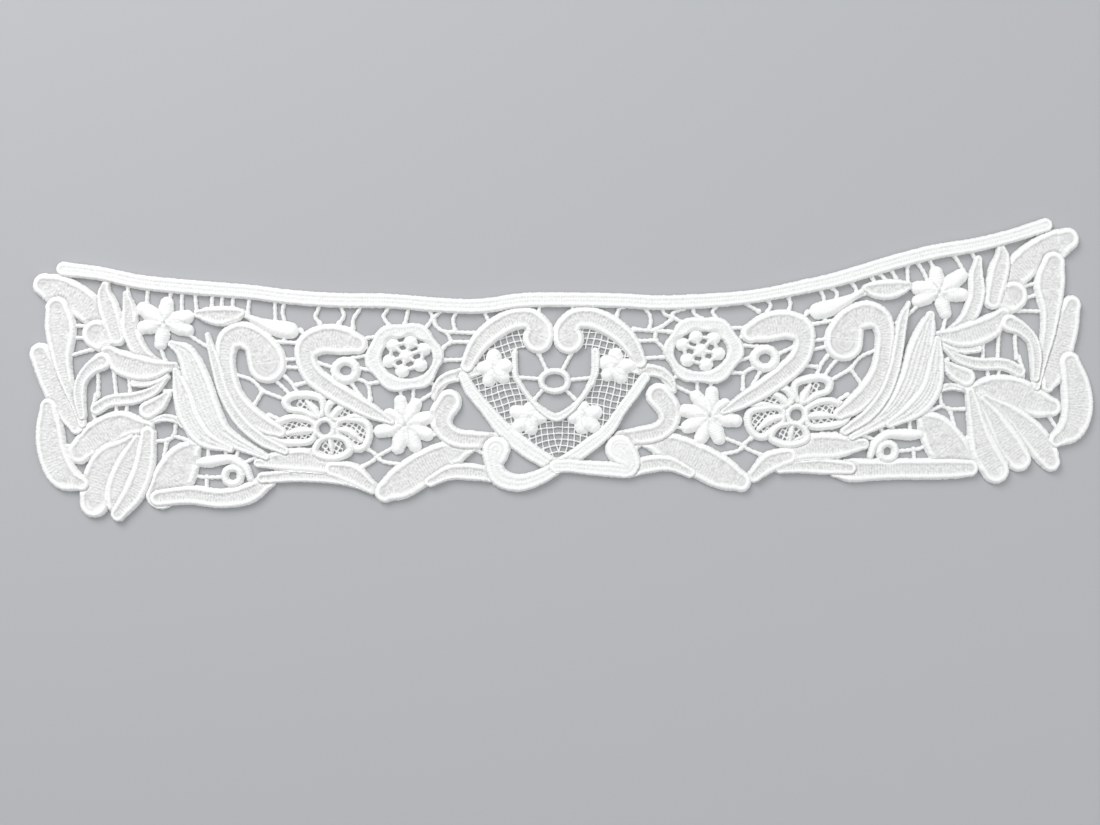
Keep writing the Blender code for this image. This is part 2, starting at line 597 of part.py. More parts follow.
def clean_loops(loops, tolerance):
    """Thinned loops that don't touch or cross one another."""
    for share in (1.0, 0.9, 0.8, 0.7, 0.5, 0.25, 0.1):
        thin = [thinned(loop, share * tolerance) for loop in loops]
        thin = [loop for loop in thin if len(loop) > 2]
        points = [Vector(p) for loop in thin for p in loop]
        edges = []
        start = 0
        for loop in thin:
            edges += [(start + k, start + (k + 1) % len(loop)) for k in range(len(loop))]
            start += len(loop)
        found = delaunay_2d_cdt(points, edges, [], 0, 1e-5)
        if len(found[0]) == len(points):
            return thin
    return thin


def inside_loops(loops, x, y):
    """Whether each place is inside the loops, holes left out."""
    hit = np.zeros(len(x), bool)
    for loop in loops:
        for (ax, ay), (bx, by) in zip(loop, np.roll(loop, -1, axis=0)):
            if ay != by:
                hit ^= ((ay > y) != (by > y)) & (x < ax + (y - ay) * (bx - ax) / (by - ay))
    return hit


def triangles(loops, inner=(), inner_edges=()):
    """Delaunay triangles inside the loops, using the inner points and edges too."""
    points = [Vector(p) for loop in loops for p in loop]
    edges = []
    start = 0
    for loop in loops:
        edges += [(start + k, start + (k + 1) % len(loop)) for k in range(len(loop))]
        start += len(loop)
    edges += [(start + a, start + b) for a, b in inner_edges]
    points += [Vector(p) for p in inner]
    found, _, faces, _, _, _ = delaunay_2d_cdt(points, edges, [], 0, 1e-5)
    found = np.array([tuple(p) for p in found])
    faces = np.array(faces)
    middle = found[faces].mean(axis=1)
    return found, faces[inside_loops(loops, middle[:, 0], middle[:, 1])]


def border_edges(faces):
    """Edges used by one triangle only, each with the material on its left."""
    used = {(a, b) for face in faces for a, b in zip(face, np.roll(face, -1))}
    return [(a, b) for a, b in used if (b, a) not in used]


def slab(name, collection, loops, bottom, top, inner=(), inner_edges=(), colour=(0.86, 0.86, 0.85)):
    """A closed solid over the loops. `top` gives the height of each place on it."""
    found, faces = triangles(loops, inner, inner_edges)
    rim = border_edges([tuple(face) for face in faces])
    following = dict(rim)
    rings = []
    while following:
        ring = [next(iter(following))]
        while ring[-1] in following:
            ring.append(following.pop(ring[-1]))
        rings.append(ring[:-1])
    under, under_faces = triangles([found[ring] for ring in rings])
    on_rim = {}
    order = [index for ring in rings for index in ring]
    for index in order:
        gap = np.hypot(*(under - found[index]).T)
        on_rim[index] = int(np.argmin(gap))
    used = sorted({index for face in faces for index in face})
    renumber = {index: k for k, index in enumerate(used)}
    is_rim = np.array([index in on_rim for index in used])
    heights = top(found[used, 0], found[used, 1], is_rim)
    vertices = [(found[i, 0] * MM, found[i, 1] * MM, h * MM) for i, h in zip(used, heights)]
    base = len(vertices)
    vertices += [(px * MM, py * MM, bottom * MM) for px, py in under]
    polygons = [tuple(renumber[i] for i in face) for face in faces]
    polygons += [tuple(base + i for i in reversed(face)) for face in under_faces]
    for a, b in rim:
        polygons.append((base + on_rim[a], base + on_rim[b], renumber[b], renumber[a]))
    mesh = bpy.data.meshes.new(name)
    mesh.from_pydata(vertices, [], polygons)
    mesh.validate()
    mesh.update()
    piece = bpy.data.objects.new(name, mesh)
    collection.objects.link(piece)
    material = bpy.data.materials.new(name + "_cotton")
    material.use_nodes = True
    shader = material.node_tree.nodes["Principled BSDF"]
    shader.inputs["Base Color"].default_value = (*colour, 1)
    shader.inputs["Roughness"].default_value = 0.85
    mesh.materials.append(material)
    return piece


def relief_profile(across, half_width, domed):
    """Share of the full rise at 0 on the spine to 1 at the edge."""
    dome = np.interp(across, [0, DOME_SHOULDER[0], 1.0], [1.0, DOME_SHOULDER[1], RELIEF_EDGE])
    leaf = np.interp(across, [0, ROW_PLACE, 1.0], [LEAF_MIDDLE, 1.0, RELIEF_EDGE])
    if domed or half_width < WIDE / 2:
        return dome
    return leaf


def relief(name, key, collection, groups, above):
    """One raised group of motifs, cut back along the groups that lie on top of it."""
    spines = groups[key]
    x, y = grid_round(spines)
    value = field(spines, x, y)[0] - INSET
    box = (x.min(), x.max(), y.min(), y.max())
    for other in above:
        points = np.vstack(other)
        reach = points[:, 2] + CUT_BACK
        if (points[:, 0] - reach).min() > box[1] or (points[:, 0] + reach).max() < box[0]:
            continue
        value = np.minimum(value, INSET - CUT_BACK - field(other, x, y)[0])
    loops = contours(value, x, y)
    outer = max(loops, key=area_of)
    loops = [outer] + [
        loop for loop in loops
        if area_of(loop) < -SMALLEST_RELIEF_HOLE and inside_loops([outer], loop[:1, 0], loop[:1, 1])[0]
    ]
    loops = clean_loops(loops, RELIEF_TOLERANCE)
    domed = key in DOMED
    inner = []
    inner_edges = []
    rim = np.vstack(loops)
    for spine in spines:
        along = np.gradient(spine[:, :2], axis=0)
        along /= np.hypot(*along.T)[:, None] + 1e-9
        sideways = np.stack([-along[:, 1], along[:, 0]], axis=1)
        wide = spine[:, 2].max() > WIDE / 2 and not domed
        for row in ((-ROW_PLACE, 0, ROW_PLACE) if wide else (0,)):
            last = None
            for k in range(len(spine)):
                point = spine[k, :2] + row * spine[k, 2] * sideways[k]
                clear = np.hypot(*(rim - point).T).min() > ROW_CLEARANCE
                clear = clear and inside_loops(loops, point[:1], point[1:])[0]
                clear = clear and all(math.hypot(*(point - p)) > ROW_SPACING for p in inner)
                if not clear:
                    last = None
                    continue
                inner.append(point)
                if last is not None:
                    middle = (inner[last] + point) / 2
                    if np.hypot(*(rim - middle).T).min() > ROW_LINK_CLEARANCE:
                        inner_edges.append((last, len(inner) - 1))
                last = len(inner) - 1

    def top(px, py, is_rim):
        rise = np.zeros(len(px))
        for spine in spines:
            inside, across = field([spine], px, py)
            shape = relief_profile(across, spine[:, 2].max(), domed)
            rise = np.maximum(rise, np.where(inside > 0, shape, 0))
        rise = np.where(is_rim, RELIEF_EDGE, np.maximum(rise, RELIEF_EDGE))
        return RELIEF_BOTTOM + RELIEF_RISE * rise

    return slab(name, collection, loops, RELIEF_BOTTOM, top, inner, inner_edges)


def flat_sheet(name, collection, value, x, y, colour):
    """A plain wall on the table with its larger gaps cut through."""
    loops = contours(value, x, y)
    outer = max(loops, key=area_of)
    kept = [outer]
    for loop in loops:
        size = np.ptp(loop, axis=0).max()
        if area_of(loop) < -SMALLEST_GAP_AREA and size > SMALLEST_GAP_LENGTH:
            if inside_loops([outer], loop[:1, 0], loop[:1, 1])[0]:
                kept.append(loop)
    kept = clean_loops(kept, GROUND_TOLERANCE)

    def top(px, py, is_rim):
        return np.full(len(px), GROUND_TOP)

    return slab(name, collection, kept, 0.0, top, colour=colour)


def remove_everything():
    """Start from an empty file."""
    for item in list(bpy.data.objects):
        bpy.data.objects.remove(item, do_unlink=True)


def centre_on_origin(collection):
    """Move every piece so that the collar's box is centred on the origin. Gives the move."""
    corners = np.vstack([np.array([v.co for v in o.data.vertices]) for o in collection.objects])
    shift = Vector((*(-(corners.min(axis=0) + corners.max(axis=0)) / 2)[:2], 0))
    for piece in collection.objects:
        for vertex in piece.data.vertices:
            vertex.co += shift
    return shift


def main():
    remove_everything()
    collection = bpy.data.collections.new("lace_collar")
    bpy.context.scene.collection.children.link(collection)
    halves = {"left": half_groups(laid, "left"), "right": half_groups(mirrored, "right")}
    middle = {
        "neckband": [smooth(NECKBAND, laid, BAND_STEP)],
        "heart_ring": [smooth(ellipse(*HEART_RING), laid, closed=True)],
        "heart_inner_band": [smooth(INNER_BAND, laid)],
        "heart_border": [
            smooth(HEART_BAND, laid, 2 * SPINE_STEP), smooth(KNOB_LEFT, laid), smooth(KNOB_RIGHT, laid),
        ],
    }
    for name, flower in CROSSES.items():
        middle[name] = petals(flower, laid)

    bars = bar_spines(NECK_BARS, laid)
    for place in (laid, mirrored):
        bars += bar_spines(BARS, place)
        bars += [smooth(rows, place) for rows in WHEEL_NETS]
    spokes = bar_spines(SPOKES, laid)

    # The panel inside the heart stands apart from the ground that goes round it
    on_panel = ("heart_ring", "heart_inner_band") + tuple(CROSSES)
    round_panel = halves["left"]["heart_scroll"] + halves["right"]["heart_scroll"] + middle["heart_border"]
    carried = [s for side in halves.values() for group in side.values() for s in group]
    carried += middle["neckband"] + middle["heart_border"] + bars
    x, y = grid_round(carried)
    ground = field(carried, x, y)[0] + GROUND_MARGIN
    heart = polygon_field([laid(*p) for p in HEART_EDGE], x, y)
    frame = field(round_panel, x, y)[0]
    ground = np.where(heart > 0, np.minimum(ground, frame + GROUND_MARGIN), ground)
    flat_sheet("lace_ground", collection, ground, x, y, (0.80, 0.80, 0.80))

    window = (np.abs(x[:, 0]) < PANEL_WINDOW[0], (y[0] < PANEL_WINDOW[1]) & (y[0] > -PANEL_WINDOW[0]))
    px = x[window[0]][:, window[1]]
    py = y[window[0]][:, window[1]]
    panel = polygon_field([laid(*p) for p in HEART_EDGE], px, py)
    opening = polygon_field([laid(*p) for p in OPENING], px, py)
    solid = field(spokes + [s for name in on_panel for s in middle[name]], px, py)[0]
    panel = np.minimum(panel, np.maximum(-opening, solid))
    panel = np.minimum(panel, -GROUND_MARGIN - CUT_BACK - field(round_panel, px, py)[0])
    flat_sheet("heart_panel", collection, panel, px, py, (0.74, 0.74, 0.74))

    above = []
    for key in ORDER:
        if key in middle:
            relief(key, key, collection, middle, above)
            above.append(middle[key])
            continue
        for side, groups in halves.items():
            relief(f"{key}_{side}", key, collection, groups, above)
            above.append(groups[key])

    return centre_on_origin(collection)


if __name__ == "__main__":
    main()
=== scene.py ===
import math

import bpy
import numpy as np
from bpy.props import FloatProperty, FloatVectorProperty, IntProperty, PointerProperty
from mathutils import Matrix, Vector
from mathutils.geometry import delaunay_2d_cdt


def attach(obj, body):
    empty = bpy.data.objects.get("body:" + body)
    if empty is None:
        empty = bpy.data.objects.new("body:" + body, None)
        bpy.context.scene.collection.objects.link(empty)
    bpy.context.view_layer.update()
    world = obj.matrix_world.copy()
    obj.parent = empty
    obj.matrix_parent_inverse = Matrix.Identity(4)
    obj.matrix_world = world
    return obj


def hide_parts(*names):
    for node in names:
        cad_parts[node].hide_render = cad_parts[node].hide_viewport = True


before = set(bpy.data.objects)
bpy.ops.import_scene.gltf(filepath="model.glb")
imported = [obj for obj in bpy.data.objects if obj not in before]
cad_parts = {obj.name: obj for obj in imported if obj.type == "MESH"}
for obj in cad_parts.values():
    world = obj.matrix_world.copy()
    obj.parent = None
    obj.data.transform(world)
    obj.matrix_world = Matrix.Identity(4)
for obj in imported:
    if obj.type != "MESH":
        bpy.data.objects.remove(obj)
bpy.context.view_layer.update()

bl_info = {
    "name": "Lace Collar",
    "version": (1, 0, 0),
    "blender": (4, 5, 0),
    "location": "View3D > Sidebar > Lace Collar",
    "description": "A cotton guipure lace collar laid flat",
    "category": "Object",
}

# Places are read in photo pixels and laid in millimetres
MM_PER_PX = 0.355
TILT = math.radians(2.2)
MIDDLE = (556.0, 380.0)
SHIFT = (-1.862, -3.242)
PICTURE = (1100, 825)
MM = 0.001

# Grids on which the forms are worked, in millimetres, and the steps along their spines
FINE = 0.3
NET_CELL = 0.2
WHEEL_CELL = 0.27
BAR_CELL = 0.32
SHEET_CELL = 0.5
STEP = 1.2
BAR_STEP = 0.5
SPECK = 1.5
FINE_SPECK = 0.4
SMOOTH_ANGLE = math.radians(72)

# Flat stitching and bars: heights in millimetres, and how uneven their edges are
BASE = 0.0
SHEET_TOP = 0.3
SHEET_INSET = 0.25
BAR_WAVER = 0.05
EDGE_SPOT = 0.55
KNOT_PITCH = 2.1
KNOT_SWELL = 0.13
END_SWELL = 0.3
END_SHARE = 0.2

# Nets: pitch, thread and waves
NET_WAVE = 0.3
NET_WAVER = 0.04
NET_TURN = math.radians(10)
NET_RISE = 0.5
SPOKE_RISE = 0.8
WHEEL_PITCH = 1.7
WHEEL_THREAD = 0.6
WHEEL_TURN = 1.0
WHEEL_RISE = 0.55

# Section of a stitched form: outline, fall to the fill, ribs
CROWN_LOW = 0.95
CROWN_SLOPE = 1.15
PADDED_REACH = 2.4
ROUNDNESS = 2.2
NARROW = 1.25
RIDGE_SHARE = 0.58
RISE_SHARE = 0.55
FALL_START = 0.72
FALL_WIDTH = 1.1
FILL_BLEND = 0.6
RIB_PITCH = 1.4
RIB_SHARE = 0.7
BAND_DEPTH = 0.35
BAND_FILL = 0.55

# How one spine lies over another of the same motif, and a motif under its neighbours
OVERLAY_GROOVE = 0.3
OVERLAY_BLEND = 0.5
OVERLAY_REST = 0.8
LAP = -0.3
SEAM_HEIGHT = 1.35
SEAM_SLOPE = 0.9

# Stitches: pitches and heights
EDGE_WAVER = 0.12
SATIN_PITCH = 0.85
COMB_PITCH = 1.0
COMB_HEIGHT = 0.09
COMB_SPOT = 1.8
TOOTH_SPOT = 1.5
THREAD_GRAIN = 0.05
GRAIN_HEIGHT = 0.1
GRAIN_SPOT = 0.6
STITCH_OFFSET = 3.7

# Neckband: x, y, width in photo pixels, the whole length
NECKBAND = [
    (63, 269, 15), (100, 273.5, 14), (140, 282, 15), (200, 288, 15), (250, 292, 15), (290, 297, 15),
    (335, 300, 15), (390, 301, 15), (440, 305, 15), (480, 306, 15), (520, 300.5, 15), (556, 299.5, 15),
    (620, 300.5, 15), (656, 302.5, 15), (692, 301.5, 15), (740, 298, 14), (765, 294.5, 13.5),
    (800, 287.5, 14.5), (836, 279.5, 15), (898, 261, 15), (936, 251.5, 15), (975, 245, 14.5),
    (1013, 235.5, 14), (1046, 225, 14.5),
]

# Motifs of the left half, by node: lists of spines, each a list of x, y, full width
MOTIFS = {
    "rose_beads": [],
    "rose": [],
    "ring": [],
    "star_flower": [],
    "daisy": [],
    "pinwheel": [],
    "heart_scroll": [
        [(538, 338, 31), (540, 331, 28), (530, 319, 23), (514, 319, 23), (496, 328, 23), (481, 341, 21),
         (473, 353, 18), (467, 366, 14)],
    ],
    "inner_scroll": [
        [(357, 344, 21), (341, 340, 30), (322, 339.5, 30), (308, 347, 27), (306, 360, 22), (313, 375, 22),
         (330, 388, 22), (350, 400, 20), (372, 412, 16), (392, 422, 7)],
    ],
    "hook_scroll": [
        [(267, 364, 39), (266, 359, 39), (257, 343, 30), (242, 335, 28), (229, 340, 25), (225, 356, 21),
         (226, 375, 22), (233, 396, 22), (246, 412, 22), (262, 424, 20), (280, 432, 12)],
        [(207, 335, 6), (215, 362, 11), (224.5, 395, 12), (240, 421, 13), (262, 440, 13), (285, 451, 9)],
    ],
    "side_curl": [
        [(449, 402, 26), (441, 416, 25), (444, 429, 21), (456, 438, 20), (475, 440, 19), (495, 439, 13)],
        [(434, 398, 6), (436, 388, 9), (445, 379, 12), (456, 375.5, 13), (468, 373, 13), (480, 371, 8)],
    ],
    "bar_leaf": [
        [(385, 492, 22), (402, 482, 34), (425, 467, 35), (450, 454, 29), (464, 448, 19), (478, 444, 10)],
        [(430, 482, 11), (450, 472.5, 16), (470, 472, 18), (490, 474.5, 16)],
    ],
    "feather": [
        [(171, 344, 8), (185, 353, 19), (196, 378, 27), (208.5, 411, 26), (223, 434, 20), (266, 457, 8)],
        [(175, 370, 7), (182, 393, 20), (189, 417, 23), (204, 438, 20), (230, 449, 8)],
    ],
    "border_b": [
        [(262, 478, 12), (300, 475.5, 14), (336, 478, 13), (356, 484, 10), (372, 491, 8)],
        [(258, 463, 10), (285, 460, 23), (312, 461, 25), (334, 468, 17)],
        [(333, 469, 17), (352, 474, 23), (371, 487, 14)],
    ],
    "border_a": [[(158, 498, 18), (190, 495, 20), (220, 498.5, 20), (248, 493.5, 22), (268, 480, 17)]],
    "small_curl": [
        [(199, 462.5, 9), (208, 462, 12), (220, 460, 11), (231, 459, 10), (239, 463, 10), (246, 469, 9),
         (250, 479, 7)],
    ],
    "almond_leaf": [[(198, 314, 9), (208, 315, 17), (220, 316, 21), (232, 315, 18), (241, 313, 9)]],
    "club_leaf": [[(243, 314, 5), (256, 321, 9), (271, 327, 15), (283, 329.5, 18), (290, 330.5, 17)]],
    "bud_sprays": [
        [(97, 334, 31), (101, 336, 32)],
        [(105, 285, 9), (104, 294, 15), (108, 308, 22), (117, 337, 18)],
        [(126, 294, 8), (129, 310, 15), (130, 328, 18), (139, 350, 17), (155, 363, 12), (176, 368, 6)],
        [(108, 352, 15), (122, 363, 26), (147, 369, 25), (173, 366, 9)],
        [(102, 361, 19), (91, 368, 15), (81, 381, 13), (79, 397, 13), (82, 416, 9)],
    ],
    "end_curl": [
        [(96, 409, 13), (110, 401, 13), (135, 398, 13), (153, 391, 11), (167, 377, 6)],
        [(134, 383, 9), (150, 381, 12), (165, 374, 7)],
        [(148, 410, 20), (158, 404, 17), (167, 395, 9)],
    ],
    "leaf_b": [[(57, 308, 25), (60, 328, 32), (61, 357, 21), (66, 380, 15), (74, 400, 12), (82, 424, 9)]],
    "leaf_a": [[(44, 285, 24), (58, 291, 33), (80, 302, 32), (98, 317, 28), (110, 328, 16)]],
    "leaf_c": [
        [(40, 354, 23), (49, 374, 27), (62, 404, 25), (76, 428, 14)],
        [(48, 407, 18), (49, 428, 28), (52, 452, 31), (63, 475, 30), (82, 484, 15)],
    ],
    "end_fan": [
        [(147, 427, 14), (120, 426, 31), (96, 438, 34), (79, 452, 25)],
        [(132, 441, 14), (109, 462, 35), (97, 487, 35), (94, 503, 30)],
        [(138, 440, 12), (127, 465, 24), (118, 490, 26), (116, 504, 20)],
        [(148, 434, 16), (144, 466, 22), (134, 492, 23), (118, 514, 16)],
    ],
    "bell_leaf": [
        [(196, 444, 12), (183, 460, 34), (172, 480, 42), (161, 493, 33)],
        [(150, 422, 7), (163, 418, 8), (176, 420, 8), (187, 429, 8), (194, 441, 9)],
    ],
}

# Spines of the right half that differ from the mirror image, where they lie in the photo
RIGHT_OWN = {
    "end_fan": [
        [(970, 390, 12), (992, 388, 26), (1015, 393, 34), (1036, 403, 30), (1052, 407, 20)],
        [(985, 398, 8), (1010, 414, 20), (1032, 434, 28), (1046, 453, 26), (1051, 462, 20)],
        [(976, 396, 8), (992, 416, 18), (1007, 442, 28), (1019, 459, 26)],
        [(970, 392, 10), (976, 420, 18), (984, 450, 28), (996, 470, 28)],
    ],
    "leaf_c": [
        [(1072, 305, 20), (1065, 325, 30), (1058, 350, 32), (1052, 372, 28), (1048, 386, 14)],
        [(1070, 362, 22), (1076, 385, 30), (1078, 408, 32), (1072, 428, 28), (1056, 440, 16)],
    ],
    "border_a": [
        [(970, 468, 18), (955, 468.5, 21), (930, 469, 22), (895, 469, 22), (868, 470, 23),
         (850, 470.5, 24), (836, 470, 16)],
    ],
    "hook_scroll": [
        [(844, 342, 39), (844.5, 337, 39), (851, 321, 30), (867, 314.5, 29), (880, 319, 25),
         (885.5, 333, 21), (884.5, 350, 20), (881, 371, 22), (871, 389, 23), (856, 404, 21),
         (840, 414, 13)],
        [(909, 303, 5), (903, 320, 11), (899, 345, 12), (894, 370, 13), (884, 395, 14), (868, 415, 14),
         (845, 431, 10)],
    ],
    "feather": [
        [(931, 315, 9), (927, 328, 19), (921, 350, 28), (912, 380, 28), (901, 401, 26), (886, 416, 20),
         (852, 437, 8)],
        [(938, 339, 8), (936, 363, 18), (931, 388, 23), (917, 407, 22), (890, 424, 9)],
    ],
    "border_b": [
        [(850, 468, 14), (822, 466, 18), (800, 466, 15), (780, 468, 12)],
        [(864, 444, 12), (836, 446, 26), (808, 447, 26), (786, 455, 18)],
        [(788, 456, 18), (770, 462, 22), (754, 476, 14)],
    ],
}

# How the right half lies: x, y on the left half, then how far its mirror image moved, in pixels
AS_LAID = [
    (404, 356, -3, 6), (346, 369, 0, 4), (404, 426, 0, 3), (325, 429, 6.5, 4.5), (267, 361, 1, 0),
    (218, 314, 2, -1), (163, 324, -3, -1), (34, 280, 9, -7), (33, 348, 3, -12), (34, 440, 8, 2),
    (113, 521, -8, -4), (153, 507, 4, -1), (99, 336, 3, -3), (372, 492, 6, 3), (448, 401, -6, 2),
    (495, 450, -1, 3), (538, 338, -2, 2), (464, 474, 0, -1),
]
LAID_REACH = 16.0
LAID_HOLD = 90.0

# Flowers: centre x, y, then each petal's tip x, y and width
STAR = (
    164, 323,
    [(167, 297, 16), (193, 315, 17), (193, 332, 15), (159, 350, 15), (136, 329, 16), (137, 305, 17)],
)
DAISY = (
    404.5, 425,
    [(399, 395, 15), (418, 399, 15), (433, 416, 16), (433, 437, 16),
     (418, 452, 16), (396, 454, 16), (374, 433, 16), (384, 411, 15)],
)
CROSSES = {
    "heart_cross_a": (
        495, 368, [(493, 349, 17), (486, 386, 16), (507, 382, 16), (476, 368, 16), (512, 365, 17)]),
    "heart_cross_b": (
        529, 417.5, [(510, 409, 16), (531, 402, 17), (547, 417, 16), (532, 435, 17), (514, 430, 16)]),
    "heart_cross_c": (
        584, 416, [(582, 401, 17), (602, 410, 16), (567, 418, 16), (581, 434, 17), (598, 431, 16)]),
    "heart_cross_d": (
        616, 367, [(615, 348, 17), (599, 360, 17), (603, 379, 16), (624, 383, 16), (636, 365, 16)]),
}
PETAL_START = (0.12, 0.45)
PETAL_MIDDLE = 0.55
PETAL_END = (0.4, 0.86)

# Rose: the scalloped outside and the round inside, each a centre and half axes, and the beads in it
ROSE_CENTRE = (404, 357)
ROSE_OUTER = (38.5, 34.5)
ROSE_INNER_CENTRE = (407, 358)
ROSE_INNER = (25.5, 20.5)
ROSE_POINTS = 36
ROSE_SCALLOPS = 6
SCALLOP_DEPTH = 1.8
SCALLOP_TURN = 0.6
BEADS = [(406, 356), (392.5, 345), (410, 342), (424, 349), (420, 365), (402, 371), (389, 361)]
BEAD_WIDTH = 13.6
BEAD_THREAD = 4.2

# Rings: centre x, y, half axes of the ring's middle line, width of its band
RING = (345.5, 370.5, 10.7, 9.6, 9.5)
CURL_RING = (232.5, 476, 8.5, 8, 8)
HEART_RING = (554.6, 381, 13.7, 10.2, 6.5)
WHEEL_RING = (324.5, 428.5, 9.0, 9.0, 6.0)

# Petal loops of the pinwheel: x, y of the loop's middle line, then its width
WHEEL_PETALS = [
    [(314, 424, 7), (300, 418, 8), (286, 419, 8), (273, 427, 8),
     (270, 434, 8), (276, 441, 8), (292, 443, 8), (312, 440, 7)],
    [(316, 417, 6), (302, 411, 7), (289, 409, 7), (285, 402, 9),
     (292, 396, 9), (308, 395, 9), (321, 399, 8), (322, 414, 6)],
    [(327, 414, 6), (330, 403, 8), (339, 398, 9), (351, 397, 8),
     (362, 403, 8), (367, 413, 8), (352, 417, 7), (338, 420, 6)],
    [(338, 422, 6), (354, 420, 7), (367, 424, 8), (369, 436, 8),
     (364, 447, 8), (356, 449, 8), (348, 442, 7), (338, 434, 6)],
    [(335, 437, 6), (345, 440, 7), (350, 450, 8), (340, 457, 8),
     (326, 458, 8), (315, 453, 8), (317, 444, 7), (324, 438, 6)],
]

# Padded leaf in the middle of each petal, and what the net of each petal covers
WHEEL_LEAVES = [
    [(315, 431, 5), (300, 431, 9), (285, 434, 4)], [(319, 419, 5), (314, 410, 9), (306, 401, 4)],
    [(331, 419, 5), (337, 411, 9), (345, 404, 4)], [(336, 429, 5), (350, 432, 9), (361, 441, 4)],
    [(329, 438, 4), (331, 446, 6), (332, 454, 3)],
]
WHEEL_NETS = [
    [(316, 430, 14), (286, 431, 24)], [(318, 420, 12), (304, 404, 16)], [(332, 418, 14), (349, 409, 20)],
    [(336, 428, 12), (356, 434, 24)], [(328, 440, 14), (332, 448, 22)],
]

# Heart border: band under the heart, and the two knobs whose tails meet beneath it
HEART_BAND = [
    (463, 376, 11), (471, 391, 13), (485, 408, 13), (501, 427, 16), (521, 445, 18), (544, 460, 16),
    (557, 465, 14), (568, 460, 14), (590, 445, 15), (609, 429, 13), (621, 411, 11), (635, 392, 11),
    (645, 377, 11),
]
KNOB_LEFT = [
    (496, 450, 29), (494, 464, 19), (500, 477.5, 20), (519, 483, 18), (540, 477, 16), (556, 468, 14),
]
KNOB_RIGHT = [
    (620, 449, 30), (632, 462, 18), (629, 470.5, 15), (612, 469.5, 16), (590, 468, 15), (570, 466, 14),
    (556, 466, 14),
]
INNER_BAND = [
    (515, 352, 6), (515, 366, 6), (516, 377, 7), (522, 387, 6), (531, 400, 6), (543, 411, 8),
    (556, 417.5, 9), (570, 410, 8), (581, 399, 6), (590, 385, 7), (594.5, 374, 8), (595.5, 364, 9),
    (595.5, 352, 9),
]
HEART_EDGE = [
    (540, 334), (520, 316), (495, 325), (480, 338), (470, 358), (465, 375), (485, 408), (508, 432),
    (545, 458), (557, 464), (568, 459), (604, 434), (623, 411), (643, 377), (640, 350), (628, 334),
    (610, 322), (585, 316), (567, 334),
]
OPENING = [
    (533, 346), (515, 350), (515, 376), (522, 388), (531, 400), (543, 411), (556, 417), (570, 410),
    (581, 399), (590, 385), (594, 374), (594, 352), (578, 346), (556, 334),
]

# Bars from the neckband to the motifs below it, as they lie in the photo: each a list of x, y
NECK_BARS = [
    [(127, 285), (127, 298)], [(147, 287), (146, 303)], [(170, 291), (169, 300)],
    [(181, 290), (181, 312)], [(194, 291), (196, 312)], [(211.5, 292), (211, 308)],
    [(221.5, 293), (221, 308)], [(232, 293), (232, 308)], [(249, 294), (247, 314)],
    [(274, 297), (275, 324)], [(285, 298), (282, 312), (286, 326)],
    [(319, 302), (317, 311), (314.5, 316.5), (320, 324)],
    [(340, 303), (341.5, 310), (343.5, 315.5), (338, 324)],
    [(361, 303), (358.5, 310), (353, 319), (352.5, 328)],
    [(389, 304), (386, 311), (383, 316.5), (388.5, 325)], [(409, 303), (406.5, 316), (404.5, 324)],
    [(426, 306), (431, 314), (433, 318)], [(444, 308), (437, 314), (433, 318)], [(433, 318), (426, 327)],
    [(433, 318), (436, 326), (443, 331), (456, 332), (478, 333)], [(457, 310), (453, 319), (455, 331)],
    [(481, 306), (489, 322)], [(447, 333), (451, 341)], [(441, 350), (446, 345), (453, 342), (470, 342)],
    [(443, 360), (466, 359.5)], [(540, 300), (538, 322)], [(572, 300), (574, 322)],
    [(625, 306), (619, 309), (617, 316)], [(644, 307), (650, 315), (651, 322), (649, 330)],
    [(662, 307), (665, 314), (673, 317)], [(684, 308), (673, 313), (673, 317)], [(673, 317), (682, 322)],
    [(673, 318), (664, 325), (654, 330)], [(634, 329), (650, 330.5), (664, 331), (672, 332)],
    [(656, 331), (656, 340), (664, 348)], [(638, 341), (656, 340)], [(644, 358), (664, 357)],
    [(693, 308), (695, 314), (703, 319)], [(716, 306), (713, 312), (719, 320)],
    [(746, 303), (752, 307), (759, 311)], [(767, 299), (771, 305), (768, 312)],
    [(789, 297), (791, 304), (789, 311)], [(820, 289), (824, 296), (825, 304)],
    [(832, 287), (838, 294), (834, 303)], [(852, 282), (857, 290), (855, 298)], [(857, 297), (866, 293)],
    [(873, 278), (877, 283)], [(881, 274), (888, 281)], [(892, 270), (897, 278)],
    [(908, 265), (909, 285)], [(918, 262), (925, 273), (929, 283)], [(930, 259), (934, 267)],
    [(955, 255), (962, 266), (967, 275)], [(973, 253), (978, 262)],
]

